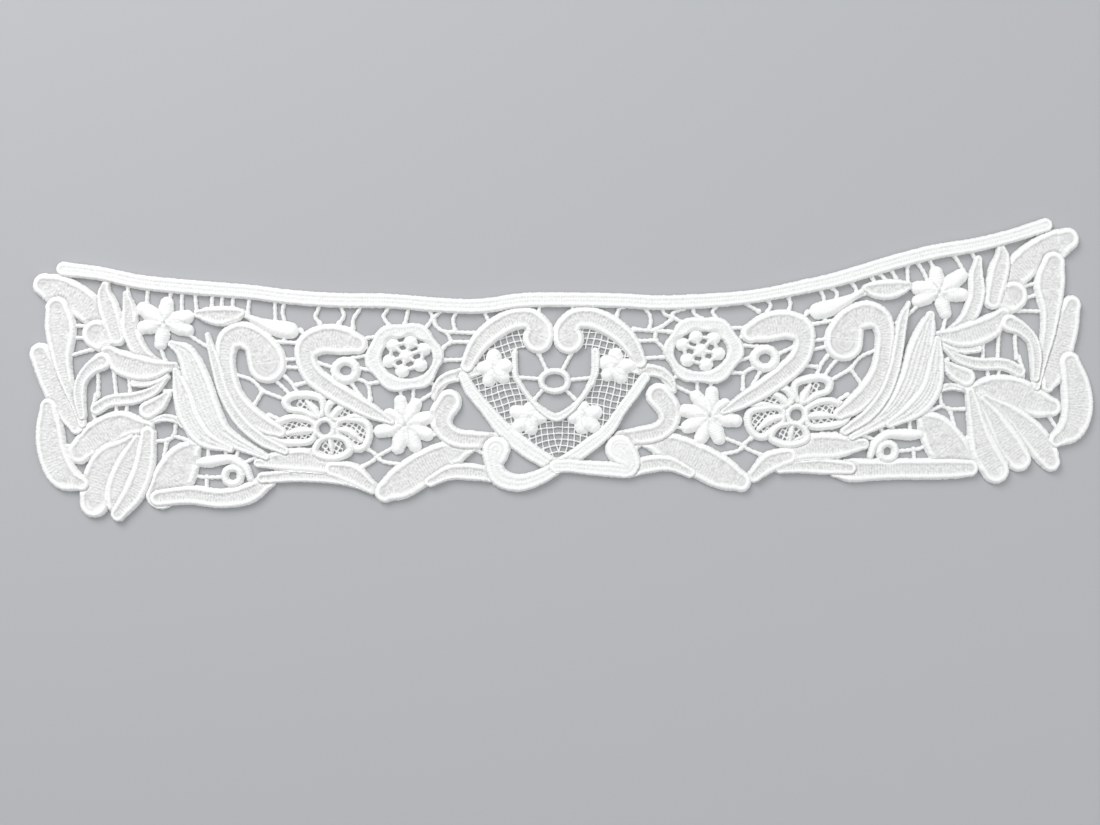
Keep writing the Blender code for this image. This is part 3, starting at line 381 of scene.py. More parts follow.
# Bars between the motifs of the left half: each a list of x, y
BARS = [
    [(426, 380), (436, 386)], [(358, 342), (366, 338), (376, 337)], [(356, 348), (366, 347)],
    [(352, 358), (368, 355)], [(316, 362), (334, 368)], [(358, 368), (374, 371)],
    [(356, 378), (367, 384), (370, 400)], [(367, 384), (378, 382)], [(351, 383), (360, 396)],
    [(399, 386), (401, 398)], [(413, 386), (413, 400)], [(418, 402), (434, 392)],
    [(232, 374), (251, 380), (262, 391)], [(262, 391), (253, 406)], [(262, 391), (288, 401)],
    [(270, 341), (298, 343)], [(284, 359.5), (300, 359)], [(284, 367), (303, 368)],
    [(284, 376), (291, 383), (298, 394)], [(272, 378), (284, 389), (292, 398)], [(296, 385), (313, 380)],
    [(366, 448), (376, 457), (362, 467)], [(376, 457), (396, 446)], [(376, 457), (384, 462), (408, 465)],
    [(268, 415), (286, 422)], [(286, 330), (283, 342)], [(58, 325), (90, 326)], [(58, 337), (88, 338)],
    [(64, 357), (92, 349)], [(94, 368), (97, 376), (97, 396)], [(112, 364), (116, 402)],
    [(127, 364), (130, 400)], [(114, 398), (117, 424)], [(127, 398), (124, 424)],
    [(152, 441.5), (166, 440.5)], [(166, 440.5), (173, 436), (175, 424)], [(173, 436), (190, 441)],
    [(166, 440.5), (164, 452), (161, 468)], [(60, 446), (72, 446)], [(164, 391), (180, 391)],
    [(178, 327), (196, 340), (212, 350)], [(189, 315), (200, 314)], [(159, 346), (165, 362)],
    [(141, 330), (130, 334)], [(190, 462), (200, 463)], [(207.5, 446), (207.5, 460)],
    [(225, 446), (225, 458)], [(235, 459), (238, 449)], [(242, 464), (256, 457)],
    [(190, 473), (200, 477), (212, 477.5), (224, 477)], [(206, 477), (206, 490)],
    [(250, 478), (250, 490)], [(233, 484), (235, 492)], [(240, 466), (238, 476)],
    [(470, 440), (480, 452)], [(473, 448), (486, 456), (492, 468)], [(496, 476), (480, 474)],
    [(436, 396), (452, 376)], [(466, 366), (480, 369)], [(284, 452), (300, 450)],
    [(262, 425), (276, 438)], [(364, 486), (384, 492)], [(240, 315), (246, 316)],
    [(462, 372), (456, 374)], [(430, 436), (444, 432)], [(300, 330), (312, 345)], [(72, 452), (62, 470)],
    [(84, 482), (96, 486)], [(150, 470), (160, 478)], [(95, 395), (92, 410), (96, 424)],
]

# Spokes from the oval ring to the edge of the opening
SPOKES = [
    [(547, 371), (539, 354)], [(562, 371), (571, 354)], [(542, 379), (516, 377)],
    [(567, 380), (594, 377.5)], [(545, 387), (534, 400)], [(564, 388), (575, 399)],
]

# Groups on top of the others come first
ORDER = [
    "neckband", "heart_ring", "heart_inner_band", "heart_cross_a", "heart_cross_b", "heart_cross_c",
    "heart_cross_d",
    "rose_beads", "rose", "ring", "star_flower", "inner_scroll", "heart_scroll", "heart_border", "daisy",
    "hook_scroll", "side_curl", "pinwheel", "bar_leaf", "feather", "small_curl", "border_b", "border_a",
    "almond_leaf", "club_leaf", "bud_sprays", "end_curl", "leaf_b", "leaf_a", "leaf_c", "end_fan",
    "bell_leaf",
]

# How each group is worked where it isn't a plain outlined leaf
PADDED = (
    "rose_beads", "ring", "heart_ring", "star_flower", "daisy", "pinwheel", "heart_cross_a", "heart_cross_b",
    "heart_cross_c", "heart_cross_d", "small_curl", "club_leaf",
)
RIBBED = ("feather", "neckband", "heart_border")
BANDS = ("neckband", "heart_border", "rose", "heart_inner_band")


class CollarSettings(bpy.types.PropertyGroup):
    """Sizes and colours of the lace."""

    bar_width: FloatProperty(
        name="Bar width", description="Width of the joining bars", default=0.00145, unit="LENGTH")
    bar_height: FloatProperty(
        name="Bar height", description="Height of the joining bars", default=0.00115, unit="LENGTH")
    ridge_height: FloatProperty(
        name="Ridge height", description="Top of the corded outlines", default=0.0023, unit="LENGTH")
    ridge_width: FloatProperty(
        name="Ridge width", description="Width of the corded outlines", default=0.0024, unit="LENGTH")
    fill_depth: FloatProperty(
        name="Fill depth", description="How far the fill lies below the outline", default=0.0005,
        unit="LENGTH")
    edge_height: FloatProperty(
        name="Edge height", description="Thickness at the very edge", default=0.0006, unit="LENGTH")
    net_thread: FloatProperty(
        name="Net thread", description="Thickness of the net's thread", default=0.0005, unit="LENGTH")
    net_pitch: FloatProperty(
        name="Net pitch", description="Distance between the net's threads", default=0.0023, unit="LENGTH")
    cotton: FloatVectorProperty(
        name="Cotton", description="Colour of the thread", subtype="COLOR", default=(0.86, 0.865, 0.85))
    # Shade: the colour of painted shade, mixed into the thread in the hollows and pits between the stitches
    shade: FloatVectorProperty(
        name="Shade", description="Colour between the stitches", subtype="COLOR",
        default=(0.60, 0.60, 0.585))
    floor: FloatVectorProperty(
        name="Floor", description="Colour of the floor", subtype="COLOR", default=(0.40, 0.405, 0.415))
    grain_seed: IntProperty(name="Grain seed", description="Which grain the stitches have", default=3)


def laid(x, y):
    """Millimetres on the table for a place in the photo."""
    dx = x - MIDDLE[0]
    dy = y - MIDDLE[1]
    return (
        MM_PER_PX * (dx * math.cos(TILT) - dy * math.sin(TILT)),
        MM_PER_PX * (-dx * math.sin(TILT) - dy * math.cos(TILT)),
    )


def mirrored(x, y):
    """The same place on the right half, moved as that half was laid."""
    total = 1.0 / LAID_HOLD ** 3
    sx = 0.0
    sy = 0.0
    for ax, ay, mx, my in AS_LAID:
        weight = 1.0 / (math.hypot(x - ax, y - ay) ** 2 + LAID_REACH ** 2) ** 1.5
        total += weight
        sx += weight * mx
        sy += weight * my
    mx, my = laid(x, y)
    ox, oy = laid(MIDDLE[0] + sx / total, MIDDLE[1] + sy / total)
    return -mx + ox, my + oy


def smooth(rows, place, step=STEP, closed=False):
    """Even points of x, y and half width along a smooth curve through the rows."""
    points = np.array([(*place(x, y), 0.5 * w * MM_PER_PX) for x, y, w in rows])
    if len(points) == 2 and not closed:
        count = max(1, round(np.linalg.norm(points[1, :2] - points[0, :2]) / step))
        return points[0] + (points[1] - points[0]) * np.linspace(0, 1, count + 1)[:, None]
    if closed:
        padded = np.vstack([points[-1:], points, points[:2]])
    else:
        padded = np.vstack([2 * points[0] - points[1], points, 2 * points[-1] - points[-2]])
        padded[[0, -1], 2] = points[[0, -1], 2]
    out = []
    for i in range(1, len(padded) - 2):
        before, start, end, after = padded[i - 1:i + 3]
        length = np.linalg.norm(end[:2] - start[:2])
        into = (end - before) * length / (np.linalg.norm(start[:2] - before[:2]) + length)
        outof = (after - start) * length / (np.linalg.norm(after[:2] - end[:2]) + length)
        count = max(1, round(length / step))
        for t in np.arange(count) / count:
            out.append(
                (2 * t ** 3 - 3 * t ** 2 + 1) * start + (t ** 3 - 2 * t ** 2 + t) * into
                + (3 * t ** 2 - 2 * t ** 3) * end + (t ** 3 - t ** 2) * outof
            )
    out.append(out[0] if closed else padded[-2])
    out = np.array(out)
    out[:, 2] = np.maximum(out[:, 2], 0.3)
    return out


def ellipse(x, y, half_x, half_y, width, count=14):
    """A ring's middle line as rows."""
    turns = np.arange(count) * math.tau / count
    return [(x + half_x * math.cos(t), y + half_y * math.sin(t), width) for t in turns]


def petals(flower, place):
    """Straight spines from a flower's middle to its petal tips, widest near the tip."""
    x, y, tips = flower
    out = []
    for tx, ty, width in tips:
        reach = math.hypot(tx - x, ty - y)
        ex = tx - PETAL_END[0] * width * (tx - x) / reach
        ey = ty - PETAL_END[0] * width * (ty - y) / reach
        near = (x + PETAL_START[0] * (tx - x), y + PETAL_START[0] * (ty - y), PETAL_START[1] * width)
        middle = (x + PETAL_MIDDLE * (ex - x), y + PETAL_MIDDLE * (ey - y), width)
        out.append(smooth([near, middle, (ex, ey, PETAL_END[1] * width)], place))
    return out


def rose_rows():
    """The rose's band: round inside, scalloped outside."""
    rows = []
    for turn in np.arange(ROSE_POINTS) * math.tau / ROSE_POINTS:
        swell = SCALLOP_DEPTH * math.cos(ROSE_SCALLOPS * turn + SCALLOP_TURN)
        ox = ROSE_CENTRE[0] + (ROSE_OUTER[0] + swell) * math.cos(turn)
        oy = ROSE_CENTRE[1] + (ROSE_OUTER[1] + swell) * math.sin(turn)
        ix = ROSE_INNER_CENTRE[0] + ROSE_INNER[0] * math.cos(turn)
        iy = ROSE_INNER_CENTRE[1] + ROSE_INNER[1] * math.sin(turn)
        rows.append(((ox + ix) / 2, (oy + iy) / 2, math.hypot(ox - ix, oy - iy)))
    return rows


def bead_spines(place):
    """Seven beads and the threads that join neighbours."""
    out = []
    around = BEADS[1:] + BEADS[1:2]
    for (ax, ay), (bx, by) in zip(around[:-1], around[1:]):
        out.append(smooth([(ax, ay, BEAD_THREAD), (bx, by, BEAD_THREAD)], place))
    for x, y in BEADS[1:]:
        out.append(smooth([(x, y, BEAD_THREAD), (*BEADS[0], BEAD_THREAD)], place))
    for x, y in BEADS:
        out.append(smooth([(x - 0.4, y, BEAD_WIDTH), (x + 0.4, y, BEAD_WIDTH)], place))
    return out


def half_groups(place, side):
    """Spines of every group of one half of the collar."""
    groups = {name: [smooth(rows, place) for rows in lists] for name, lists in MOTIFS.items()}
    if side == "right":
        for name, lists in RIGHT_OWN.items():
            groups[name] = [smooth(rows, laid) for rows in lists]
    groups["ring"] = [smooth(ellipse(*RING), place, closed=True)]
    groups["rose"] = [smooth(rose_rows(), place, closed=True)]
    groups["rose_beads"] = bead_spines(place)
    groups["star_flower"] = petals(STAR, place)
    groups["daisy"] = petals(DAISY, place)
    groups["small_curl"].append(smooth(ellipse(*CURL_RING, count=10), place, closed=True))
    groups["pinwheel"] = [smooth(rows, place, closed=True) for rows in WHEEL_PETALS]
    groups["pinwheel"] += [smooth(rows, place) for rows in WHEEL_LEAVES]
    groups["pinwheel"].append(smooth(ellipse(*WHEEL_RING, count=12), place, closed=True))
    return groups


def field(spines, x, y):
    """For every place: distance inside, half width, run along the thread and place across it."""
    inside = np.full(x.shape, -1e3)
    half = np.full(x.shape, 1.0)
    along = np.zeros(x.shape)
    side = np.zeros(x.shape)
    low = (x[0, 0], y[0, 0])
    cell = x[1, 0] - x[0, 0]
    for spine in spines:
        run = 0.0
        for (ax, ay, ar), (bx, by, br) in zip(spine[:-1], spine[1:]):
            dx = bx - ax
            dy = by - ay
            length = math.hypot(dx, dy)
            reach = max(ar, br) + 1.2
            i0 = max(0, int((min(ax, bx) - reach - low[0]) / cell))
            i1 = max(0, int((max(ax, bx) + reach - low[0]) / cell) + 1)
            j0 = max(0, int((min(ay, by) - reach - low[1]) / cell))
            j1 = max(0, int((max(ay, by) + reach - low[1]) / cell) + 1)
            near = (slice(i0, i1), slice(j0, j1))
            px = x[near] - ax
            if px.size:
                py = y[near] - ay
                t = np.clip((px * dx + py * dy) / max(length * length, 1e-9), 0, 1)
                gap = np.hypot(px - t * dx, py - t * dy)
                radius = ar + t * (br - ar)
                better = radius - gap > inside[near]
                inside[near] = np.where(better, radius - gap, inside[near])
                half[near] = np.where(better, radius, half[near])
                along[near] = np.where(better, run + t * length, along[near])
                across = np.sign(dx * py - dy * px) * gap
                side[near] = np.where(better, across, side[near])
            run += length
    return inside, half, along, side


def polygon_field(points, x, y):
    """Distance inside a closed polygon, negative outside."""
    winding = np.zeros(x.shape, bool)
    nearest = np.full(x.shape, 1e3)
    for (ax, ay), (bx, by) in zip(points, points[1:] + points[:1]):
        dx = bx - ax
        dy = by - ay
        t = np.clip(((x - ax) * dx + (y - ay) * dy) / (dx * dx + dy * dy), 0, 1)
        nearest = np.minimum(nearest, np.hypot(x - ax - t * dx, y - ay - t * dy))
        if ay != by:
            winding ^= ((ay > y) != (by > y)) & (x < ax + (y - ay) * dx / dy)
    return np.where(winding, nearest, -nearest)


def grid_round(spines, cell, margin=1.5):
    """Sample places covering the spines."""
    points = np.vstack(spines)
    low = (points[:, :2] - points[:, 2:]).min(axis=0) - margin
    high = (points[:, :2] + points[:, 2:]).max(axis=0) + margin
    return np.meshgrid(np.arange(low[0], high[0], cell), np.arange(low[1], high[1], cell), indexing="ij")


def grain(x, y, size, seed=0):
    """Smooth random numbers from -1 to 1 with spots of the given size."""
    u = x / size
    v = y / size
    i = np.floor(u)
    j = np.floor(v)
    fu = u - i
    fv = v - j
    fu = fu * fu * (3 - 2 * fu)
    fv = fv * fv * (3 - 2 * fv)

    def spot(a, b):
        turn = np.sin(a * 127.1 + b * 311.7 + seed * 74.7) * 43758.5453
        return turn - np.floor(turn)

    low = spot(i, j) * (1 - fu) + spot(i + 1, j) * fu
    high = spot(i, j + 1) * (1 - fu) + spot(i + 1, j + 1) * fu
    return 2 * (low * (1 - fv) + high * fv) - 1


def eased(value):
    """Smooth step from 0 to 1."""
    t = np.clip(value, 0, 1)
    return t * t * (3 - 2 * t)


def dome(rise):
    """Rounded rise from 0 at the edge to 1 in the middle."""
    return 1 - (1 - rise) ** 2


def area_of(loop):
    """Signed area of a closed loop."""
    x, y = loop[:, 0], loop[:, 1]
    return 0.5 * float(np.sum(x * np.roll(y, -1) - np.roll(x, -1) * y))


def cut_out(value, x, y):
    """Points and faces over the places where value is above zero, and the loops round them."""
    value = np.where(np.abs(value) < 1e-6, 1e-6, value)
    inside = value > 0
    number = np.full(value.shape, -1)
    number[inside] = np.arange(int(inside.sum()))
    points = list(zip(x[inside], y[inside]))
    full = inside[:-1, :-1] & inside[1:, :-1] & inside[1:, 1:] & inside[:-1, 1:]
    quads = np.stack(
        [number[:-1, :-1][full], number[1:, :-1][full], number[1:, 1:][full], number[:-1, 1:][full]], axis=1)
    faces = [tuple(q) for q in quads.tolist()]
    crossing = {}
    border = {}

    def cross(a, b):
        key = (a, b) if inside[a] else (b, a)
        if key not in crossing:
            a, b = key
            share = min(max(value[a] / (value[a] - value[b]), 0.08), 0.92)
            crossing[key] = len(points)
            points.append((x[a] + share * (x[b] - x[a]), y[a] + share * (y[b] - y[a])))
        return crossing[key]

    mixed = inside[:-1, :-1].astype(int) + inside[1:, :-1] + inside[1:, 1:] + inside[:-1, 1:]
    for i, j in zip(*np.nonzero((mixed > 0) & (mixed < 4))):
        corners = [(i, j), (i + 1, j), (i + 1, j + 1), (i, j + 1)]
        signs = [bool(inside[c]) for c in corners]
        split = signs[0] == signs[2] and signs[1] == signs[3]
        if split and value[i:i + 2, j:j + 2].mean() <= 0:
            for k in range(4):
                if signs[k]:
                    back = cross(corners[k - 1], corners[k])
                    out = cross(corners[k], corners[(k + 1) % 4])
                    faces.append((back, int(number[corners[k]]), out))
                    border[out] = back
            continue
        ring = []
        kinds = []
        for k in range(4):
            if signs[k]:
                ring.append(int(number[corners[k]]))
                kinds.append("corner")
            if signs[k] != signs[(k + 1) % 4]:
                ring.append(cross(corners[k], corners[(k + 1) % 4]))
                kinds.append("out" if signs[k] else "in")
        faces.append(tuple(ring))
        for k, kind in enumerate(kinds):
            if kind == "out":
                border[ring[k]] = ring[(k + 1) % len(ring)]
    loops = []
    left = dict(border)
    while left:
        start = next(iter(left))
        loop = []
        at = start
        while at in left:
            loop.append(at)
            at = left.pop(at)
        loops.append(loop)
    return np.array(points), faces, border, loops


def without_specks(value, x, y, smallest=SPECK):
    """The value with small loose islands taken away."""
    points, _, _, loops = cut_out(value, x, y)
    value = value.copy()
    for loop in loops:
        ring = points[loop]
        size = area_of(ring)
        if 0 < size < smallest:
            low = ring.min(axis=0) - 0.01
            high = ring.max(axis=0) + 0.01
            here = (x >= low[0]) & (x <= high[0]) & (y >= low[1]) & (y <= high[1])
            value[here] = np.minimum(value[here], -0.05)
    return value


def under_side(points, border, loops):
    """Triangles of the flat underside, from the border points alone."""
    order = [index for loop in loops for index in loop]
    place = {index: k for k, index in enumerate(order)}
    flat = [Vector(points[index]) for index in order]
    edges = [(place[a], place[b]) for a, b in border.items()]
    found, _, faces, _, _, _ = delaunay_2d_cdt(flat, edges, [], 0, 1e-6)
    if len(found) != len(flat):
        raise RuntimeError("an edge of the lace touches itself")
    owner = {}
    for number, face in enumerate(faces):
        for a, b in zip(face, face[1:] + face[:1]):
            owner[(a, b)] = number
    walls = set(edges)
    inside = set()
    todo = [owner[edge] for edge in edges if edge in owner]
    while todo:
        number = todo.pop()
        if number in inside:
            continue
        inside.add(number)
        face = faces[number]
        for a, b in zip(face, face[1:] + face[:1]):
            if (a, b) not in walls and (b, a) not in walls and (b, a) in owner:
                todo.append(owner[(b, a)])
    return order, [faces[number] for number in sorted(inside)]


def shell(value, x, y, layers):
    """Points, faces and stitch data of one closed piece. `layers` gives height, fill, along, side."""
    points, faces, border, loops = cut_out(value, x, y)
    height, fill, along, side = layers
    cell = x[1, 0] - x[0, 0]
    gx = np.clip((points[:, 0] - x[0, 0]) / cell, 0, x.shape[0] - 1.001)
    gy = np.clip((points[:, 1] - y[0, 0]) / cell, 0, x.shape[1] - 1.001)
    i = gx.astype(int)
    j = gy.astype(int)
    fx = gx - i
    fy = gy - j

    def sampled(grid):
        low = grid[i, j] * (1 - fx) + grid[i + 1, j] * fx
        high = grid[i, j + 1] * (1 - fx) + grid[i + 1, j + 1] * fx
        return low * (1 - fy) + high * fy

    z = sampled(height)
    near = (np.rint(gx).astype(int), np.rint(gy).astype(int))
    data = np.stack([sampled(fill), along[near], side[near]], axis=1)
    edge = np.array(sorted(border))
    z[edge] = height.min()
    top = np.column_stack([points, z])
    order, under = under_side(points, border, loops)
    low = {index: len(top) + k for k, index in enumerate(order)}
    bottom = np.column_stack([points[order], np.full(len(order), BASE)])
    faces = list(faces)
    for a, b in border.items():
        faces.append((b, a, low[a], low[b]))
    start = len(top)
    faces += [tuple(start + v for v in reversed(face)) for face in under]
    return np.vstack([top, bottom]), faces, np.vstack([data, data[order]])


def flat_shell(value, x, y, top):
    """Points, faces and stitch data of a closed sheet of even thickness, from its outline alone."""
    points, _, border, loops = cut_out(value, x, y)
    order, sheet = under_side(points, border, loops)
    count = len(order)
    place = {index: k for k, index in enumerate(order)}
    faces = [tuple(face) for face in sheet]
    faces += [tuple(count + v for v in reversed(face)) for face in sheet]
    faces += [(place[b], place[a], count + place[a], count + place[b]) for a, b in border.items()]
    rim = points[order]
    data = np.column_stack([np.zeros(count), rim])
    high = np.column_stack([rim, np.full(count, top)])
    low = np.column_stack([rim, np.full(count, BASE)])
    return np.vstack([high, low]), faces, np.vstack([data, data])


def make_piece(name, shells, slot, *nodes):
    """One object from closed shells, with its stitch directions, standing for its CAD nodes."""
    vertices = []
    faces = []
    data = []
    for shell_points, shell_faces, shell_data in shells:
        start = sum(len(v) for v in vertices)
        vertices.append(shell_points)
        faces += [tuple(start + v for v in face) for face in shell_faces]
        data.append(shell_data)
    vertices = np.vstack(vertices)
    data = np.vstack(data)
    vertices[:, 0] += SHIFT[0]
    vertices[:, 1] += SHIFT[1]
    mesh = bpy.data.meshes.new(name)
    mesh.from_pydata((vertices * MM).tolist(), [], faces)
    mesh.update()
    fill = mesh.attributes.new("fill", "FLOAT", "POINT")
    fill.data.foreach_set("value", data[:, 0].astype(np.float32))
    corner = np.zeros(len(mesh.loops), np.int32)
    mesh.loops.foreach_get("vertex_index", corner)
    stitch = mesh.uv_layers.new(name="stitch")
    stitch.data.foreach_set("uv", data[corner, 1:].astype(np.float32).ravel())
    piece = bpy.data.objects.new(name, mesh)
    bpy.context.scene.collection.objects.link(piece)
    bpy.ops.object.select_all(action="DESELECT")
    piece.select_set(True)
    bpy.context.view_layer.objects.active = piece
    bpy.ops.object.shade_smooth_by_angle(angle=SMOOTH_ANGLE)
    mesh.materials.append(lace_cotton())
    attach(piece, "root")
    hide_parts(*nodes)
    return piece


class Sock:
    """A shader socket that understands arithmetic."""

    def __init__(self, tree, socket):
        self.tree = tree
        self.socket = socket

    def maths(self, operation, *others):
        node = self.tree.nodes.new("ShaderNodeMath")
        node.operation = operation
        for place, value in enumerate((self, *others)):
            if isinstance(value, Sock):
                self.tree.links.new(value.socket, node.inputs[place])
            else:
                node.inputs[place].default_value = value
        return Sock(self.tree, node.outputs[0])

    def __add__(self, other):
        return self.maths("ADD", other)

    __radd__ = __add__

    def __mul__(self, other):
        return self.maths("MULTIPLY", other)

    __rmul__ = __mul__

    def __sub__(self, other):
        return self.maths("SUBTRACT", other)

    def __rsub__(self, other):
        return (self * -1) + other


class Shader:
    """Builds a material's nodes."""

    def __init__(self, name):
        self.material = bpy.data.materials.new(name)
        self.material.use_nodes = True
        self.tree = self.material.node_tree
        self.surface = self.tree.nodes["Principled BSDF"]

    def node(self, kind, settings=None, output=0, **inputs):
        """A node with its settings and the values or links of its sockets."""
        node = self.tree.nodes.new(kind)
        for key, value in (settings or {}).items():
            setattr(node, key, value)
        for key, value in inputs.items():
            socket = node.inputs[int(key[1:])] if key[1:].isdigit() else node.inputs[key.replace("_", " ")]
            if isinstance(value, Sock):
                self.tree.links.new(value.socket, socket)
            elif hasattr(value, "__len__") and len(value) == 3 and socket.type == "RGBA":
                socket.default_value = (*value, 1)
            else:
                socket.default_value = value
        return Sock(self.tree, node.outputs[output])

    def link(self, socket, name):
        self.tree.links.new(socket.socket, self.surface.inputs[name])


def lace_cotton():
    """White cotton thread: satin stitch on the outlines, granular stitches in the fills."""
    found = bpy.data.materials.get("lace_cotton")
    if found:
        return found
    settings = bpy.context.scene.lace_collar
    shader = Shader("lace_cotton")
    shader.surface.inputs["Sheen Weight"].default_value = 0.1
    shader.surface.inputs["Sheen Roughness"].default_value = 0.5
    shader.surface.inputs["Specular IOR Level"].default_value = 0.25
    place = shader.node("ShaderNodeTexCoord", output=3)
    stitch = shader.node("ShaderNodeUVMap", {"uv_map": "stitch"})
    fill = shader.node("ShaderNodeAttribute", {"attribute_name": "fill"}, output=2)
    bands = {"wave_type": "BANDS", "bands_direction": "X", "wave_profile": "SIN"}
    thread = shader.node(
        "ShaderNodeTexWave", bands, output=1, Vector=stitch, Scale=math.tau / 20 / SATIN_PITCH,
        Distortion=1.6, Detail=2.0, Detail_Scale=1.2)
    pits = shader.node("ShaderNodeTexNoise", Vector=place, Scale=1300.0, Detail=3.0)
    comb = shader.node(
        "ShaderNodeTexWave", bands, output=1, Vector=stitch, Scale=math.tau / 20 / COMB_PITCH,
        Distortion=1.2, Detail=2.0, Detail_Scale=2.0)
    dashes = shader.node(
        "ShaderNodeMapping", {"vector_type": "POINT"}, Vector=stitch, Scale=(1.9, 1.1, 1.0))
    spots = shader.node("ShaderNodeTexVoronoi", {"feature": "F1"}, Vector=dashes, Scale=1.0, Randomness=0.9)
    # Hollows: the gaps of the dashes and comb rows, dented in the bump and darkened in the colour as painted
    # shade
    hollow = (spots * spots * 0.8 + (1 - comb) * 0.35) * fill
    # Painted shade: the colour falls toward the shade colour in the hollows and pits, most strongly in the
    # fills
    painted_shade = hollow + (1 - pits) * 0.4 * fill + (1 - pits) * 0.1
    colour = shader.node(
        "ShaderNodeMix", {"data_type": "RGBA", "clamp_factor": True}, output=2,
        _0=painted_shade, _6=tuple(settings.cotton), _7=tuple(settings.shade))
    shader.link(colour, "Base Color")
    shader.link(0.75 + 0.18 * pits, "Roughness")
    relief = thread * 0.9 * (1 - fill) + pits * (0.55 + fill * 0.6) - hollow * 1.2
    bump = shader.node("ShaderNodeBump", Strength=0.5, Distance=0.00022, Height=relief)
    shader.link(bump, "Normal")
    return shader.material


def worked(kind, inside, half, ridge, top, depth, rim):
    """Height and fill share of a stitched form, from the distance inside its edge and its half width."""
    crown = np.minimum(top, CROWN_LOW + CROWN_SLOPE * half)
    if kind == "padded":
        rise = np.clip(inside / np.minimum(half, PADDED_REACH), 0, 1)
        return rim + (crown - rim) * dome(rise), np.zeros(inside.shape)
    narrow = half < NARROW
    edge = np.where(narrow, half, np.minimum(ridge, RIDGE_SHARE * half))
    rise = np.clip(inside / np.where(narrow, half, RISE_SHARE * edge), 0, 1)
    height = rim + (crown - rim) * (1 - (1 - rise) ** ROUNDNESS)
    start = FALL_START * edge
    down = eased((inside - start) / np.clip(half - start, 0.05, FALL_WIDTH))
    drop = np.where(narrow, 0, np.clip(0.5 * (half - edge), 0, depth))
    height = height - drop * down
    fill = np.where(narrow, 0, eased((inside - start - 0.1) / FILL_BLEND))
    if kind == "ribbed":
        count = np.maximum(1, np.round((half - start) / RIB_PITCH))
        ribs = 0.5 + 0.5 * np.cos(math.tau * (half - inside) / ((half - start) / count))
        height = height + RIB_SHARE * drop * ribs * down
        fill = fill * (1 - 0.6 * ribs)
    return height, fill


def halves():
    """Spines of the two halves and of the middle."""
    middle = {
        "neckband": [smooth(NECKBAND, laid)],
        "heart_ring": [smooth(ellipse(*HEART_RING), laid, closed=True)],
        "heart_inner_band": [smooth(INNER_BAND, laid)],
        "heart_border": [smooth(HEART_BAND, laid), smooth(KNOB_LEFT, laid), smooth(KNOB_RIGHT, laid)],
    }
    for name, flower in CROSSES.items():
        middle[name] = petals(flower, laid)
    return {"left": half_groups(laid, "left"), "right": half_groups(mirrored, "right")}, middle


SIDES, CENTRE = halves()


def all_above(key, side):
    """Spines of every group that lies on top of this one."""
    out = []
    for other in ORDER:
        if other == key:
            break
        if other in CENTRE:
            out.append(CENTRE[other])
        else:
            out += [SIDES["left"][other], SIDES["right"][other]]
    if side == "right":
        out.append(SIDES["left"][key])
    return out


def stitched(key, side=""):
    """One raised motif, worked over its spines, tucked under the ones on top of it."""
    settings = bpy.context.scene.lace_collar
    ridge = settings.ridge_width / MM
    top = settings.ridge_height / MM
    depth = settings.fill_depth / MM
    rim = settings.edge_height / MM
    spines = SIDES[side][key] if side else CENTRE[key]
    kind = "padded" if key in PADDED else "ribbed" if key in RIBBED else "leaf"
    if key in BANDS:
        depth *= BAND_DEPTH
    x, y = grid_round(spines, FINE)
    value = np.full(x.shape, -1e3)
    height = np.full(x.shape, rim)
    fill = np.zeros(x.shape)
    along = np.zeros(x.shape)
    across = np.zeros(x.shape)
    for number, spine in enumerate(spines):
        inside, half, run, off = field([spine], x, y)
        inside = inside + EDGE_WAVER * grain(x, y, EDGE_SPOT, settings.grain_seed)
        value = np.maximum(value, inside)
        mine, stitches = worked(kind, inside, half, ridge, top, depth, rim)
        if kind == "padded":
            height = np.where(inside > 0, np.maximum(height, mine), height)
        else:
            groove = eased(1 + inside / OVERLAY_BLEND) * (inside <= 0)
            height = height - OVERLAY_GROOVE * groove * (height - rim)
            share = eased(inside / OVERLAY_BLEND)
            over = (1 - share) * height + share * np.maximum(mine, OVERLAY_REST * height)
            height = np.where(inside > 0, over, height)
        if key in BANDS:
            stitches = stitches * BAND_FILL
        fill = np.where(inside > 0, stitches, fill)
        along = np.where(inside > 0, run + STITCH_OFFSET * number, along)
        across = np.where(inside > 0, off, across)
    teeth = np.cos(math.tau * (along + 0.2 * grain(x, y, TOOTH_SPOT, 4)) / COMB_PITCH)
    height = height + COMB_HEIGHT * fill * teeth * (0.6 + 0.4 * grain(x, y, COMB_SPOT, 6))
    height = height + (THREAD_GRAIN + GRAIN_HEIGHT * fill) * grain(along, across, GRAIN_SPOT, 5)
    box = (x.min(), x.max(), y.min(), y.max())
    for other in all_above(key, side):
        points = np.vstack(other)
        reach = points[:, 2] + 1
        if (points[:, 0] - reach).min() > box[1] or (points[:, 0] + reach).max() < box[0]:
            continue
        if (points[:, 1] - reach).min() > box[3] or (points[:, 1] + reach).max() < box[2]:
            continue
        gap = -field(other, x, y)[0] - LAP
        value = np.minimum(value, gap)
        height = np.minimum(height, np.maximum(rim, SEAM_HEIGHT + SEAM_SLOPE * (gap + LAP)))
    value = without_specks(value, x, y)
    height = np.maximum(height, rim)
    name = f"{key}_{side}" if side else key
    slot = "braid_cotton" if key == "neckband" else "raised_cotton"
    return make_piece(name + "_thread", [shell(value, x, y, (height, fill, along, across))], slot, name)


def net(x, y, pitch, thread, turn):
    """Distance inside the threads of a slightly wavy square net."""
    out = np.full(x.shape, -1e3)
    for angle in (turn, turn + math.pi / 2):
        s = x * math.cos(angle) + y * math.sin(angle)
        s = s + NET_WAVE * np.sin((y * math.cos(angle) - x * math.sin(angle)) / pitch + s / (2 * pitch))
        gap = np.abs((s / pitch + 0.5) % 1 - 0.5) * pitch
        out = np.maximum(out, thread / 2 - gap)
    return out


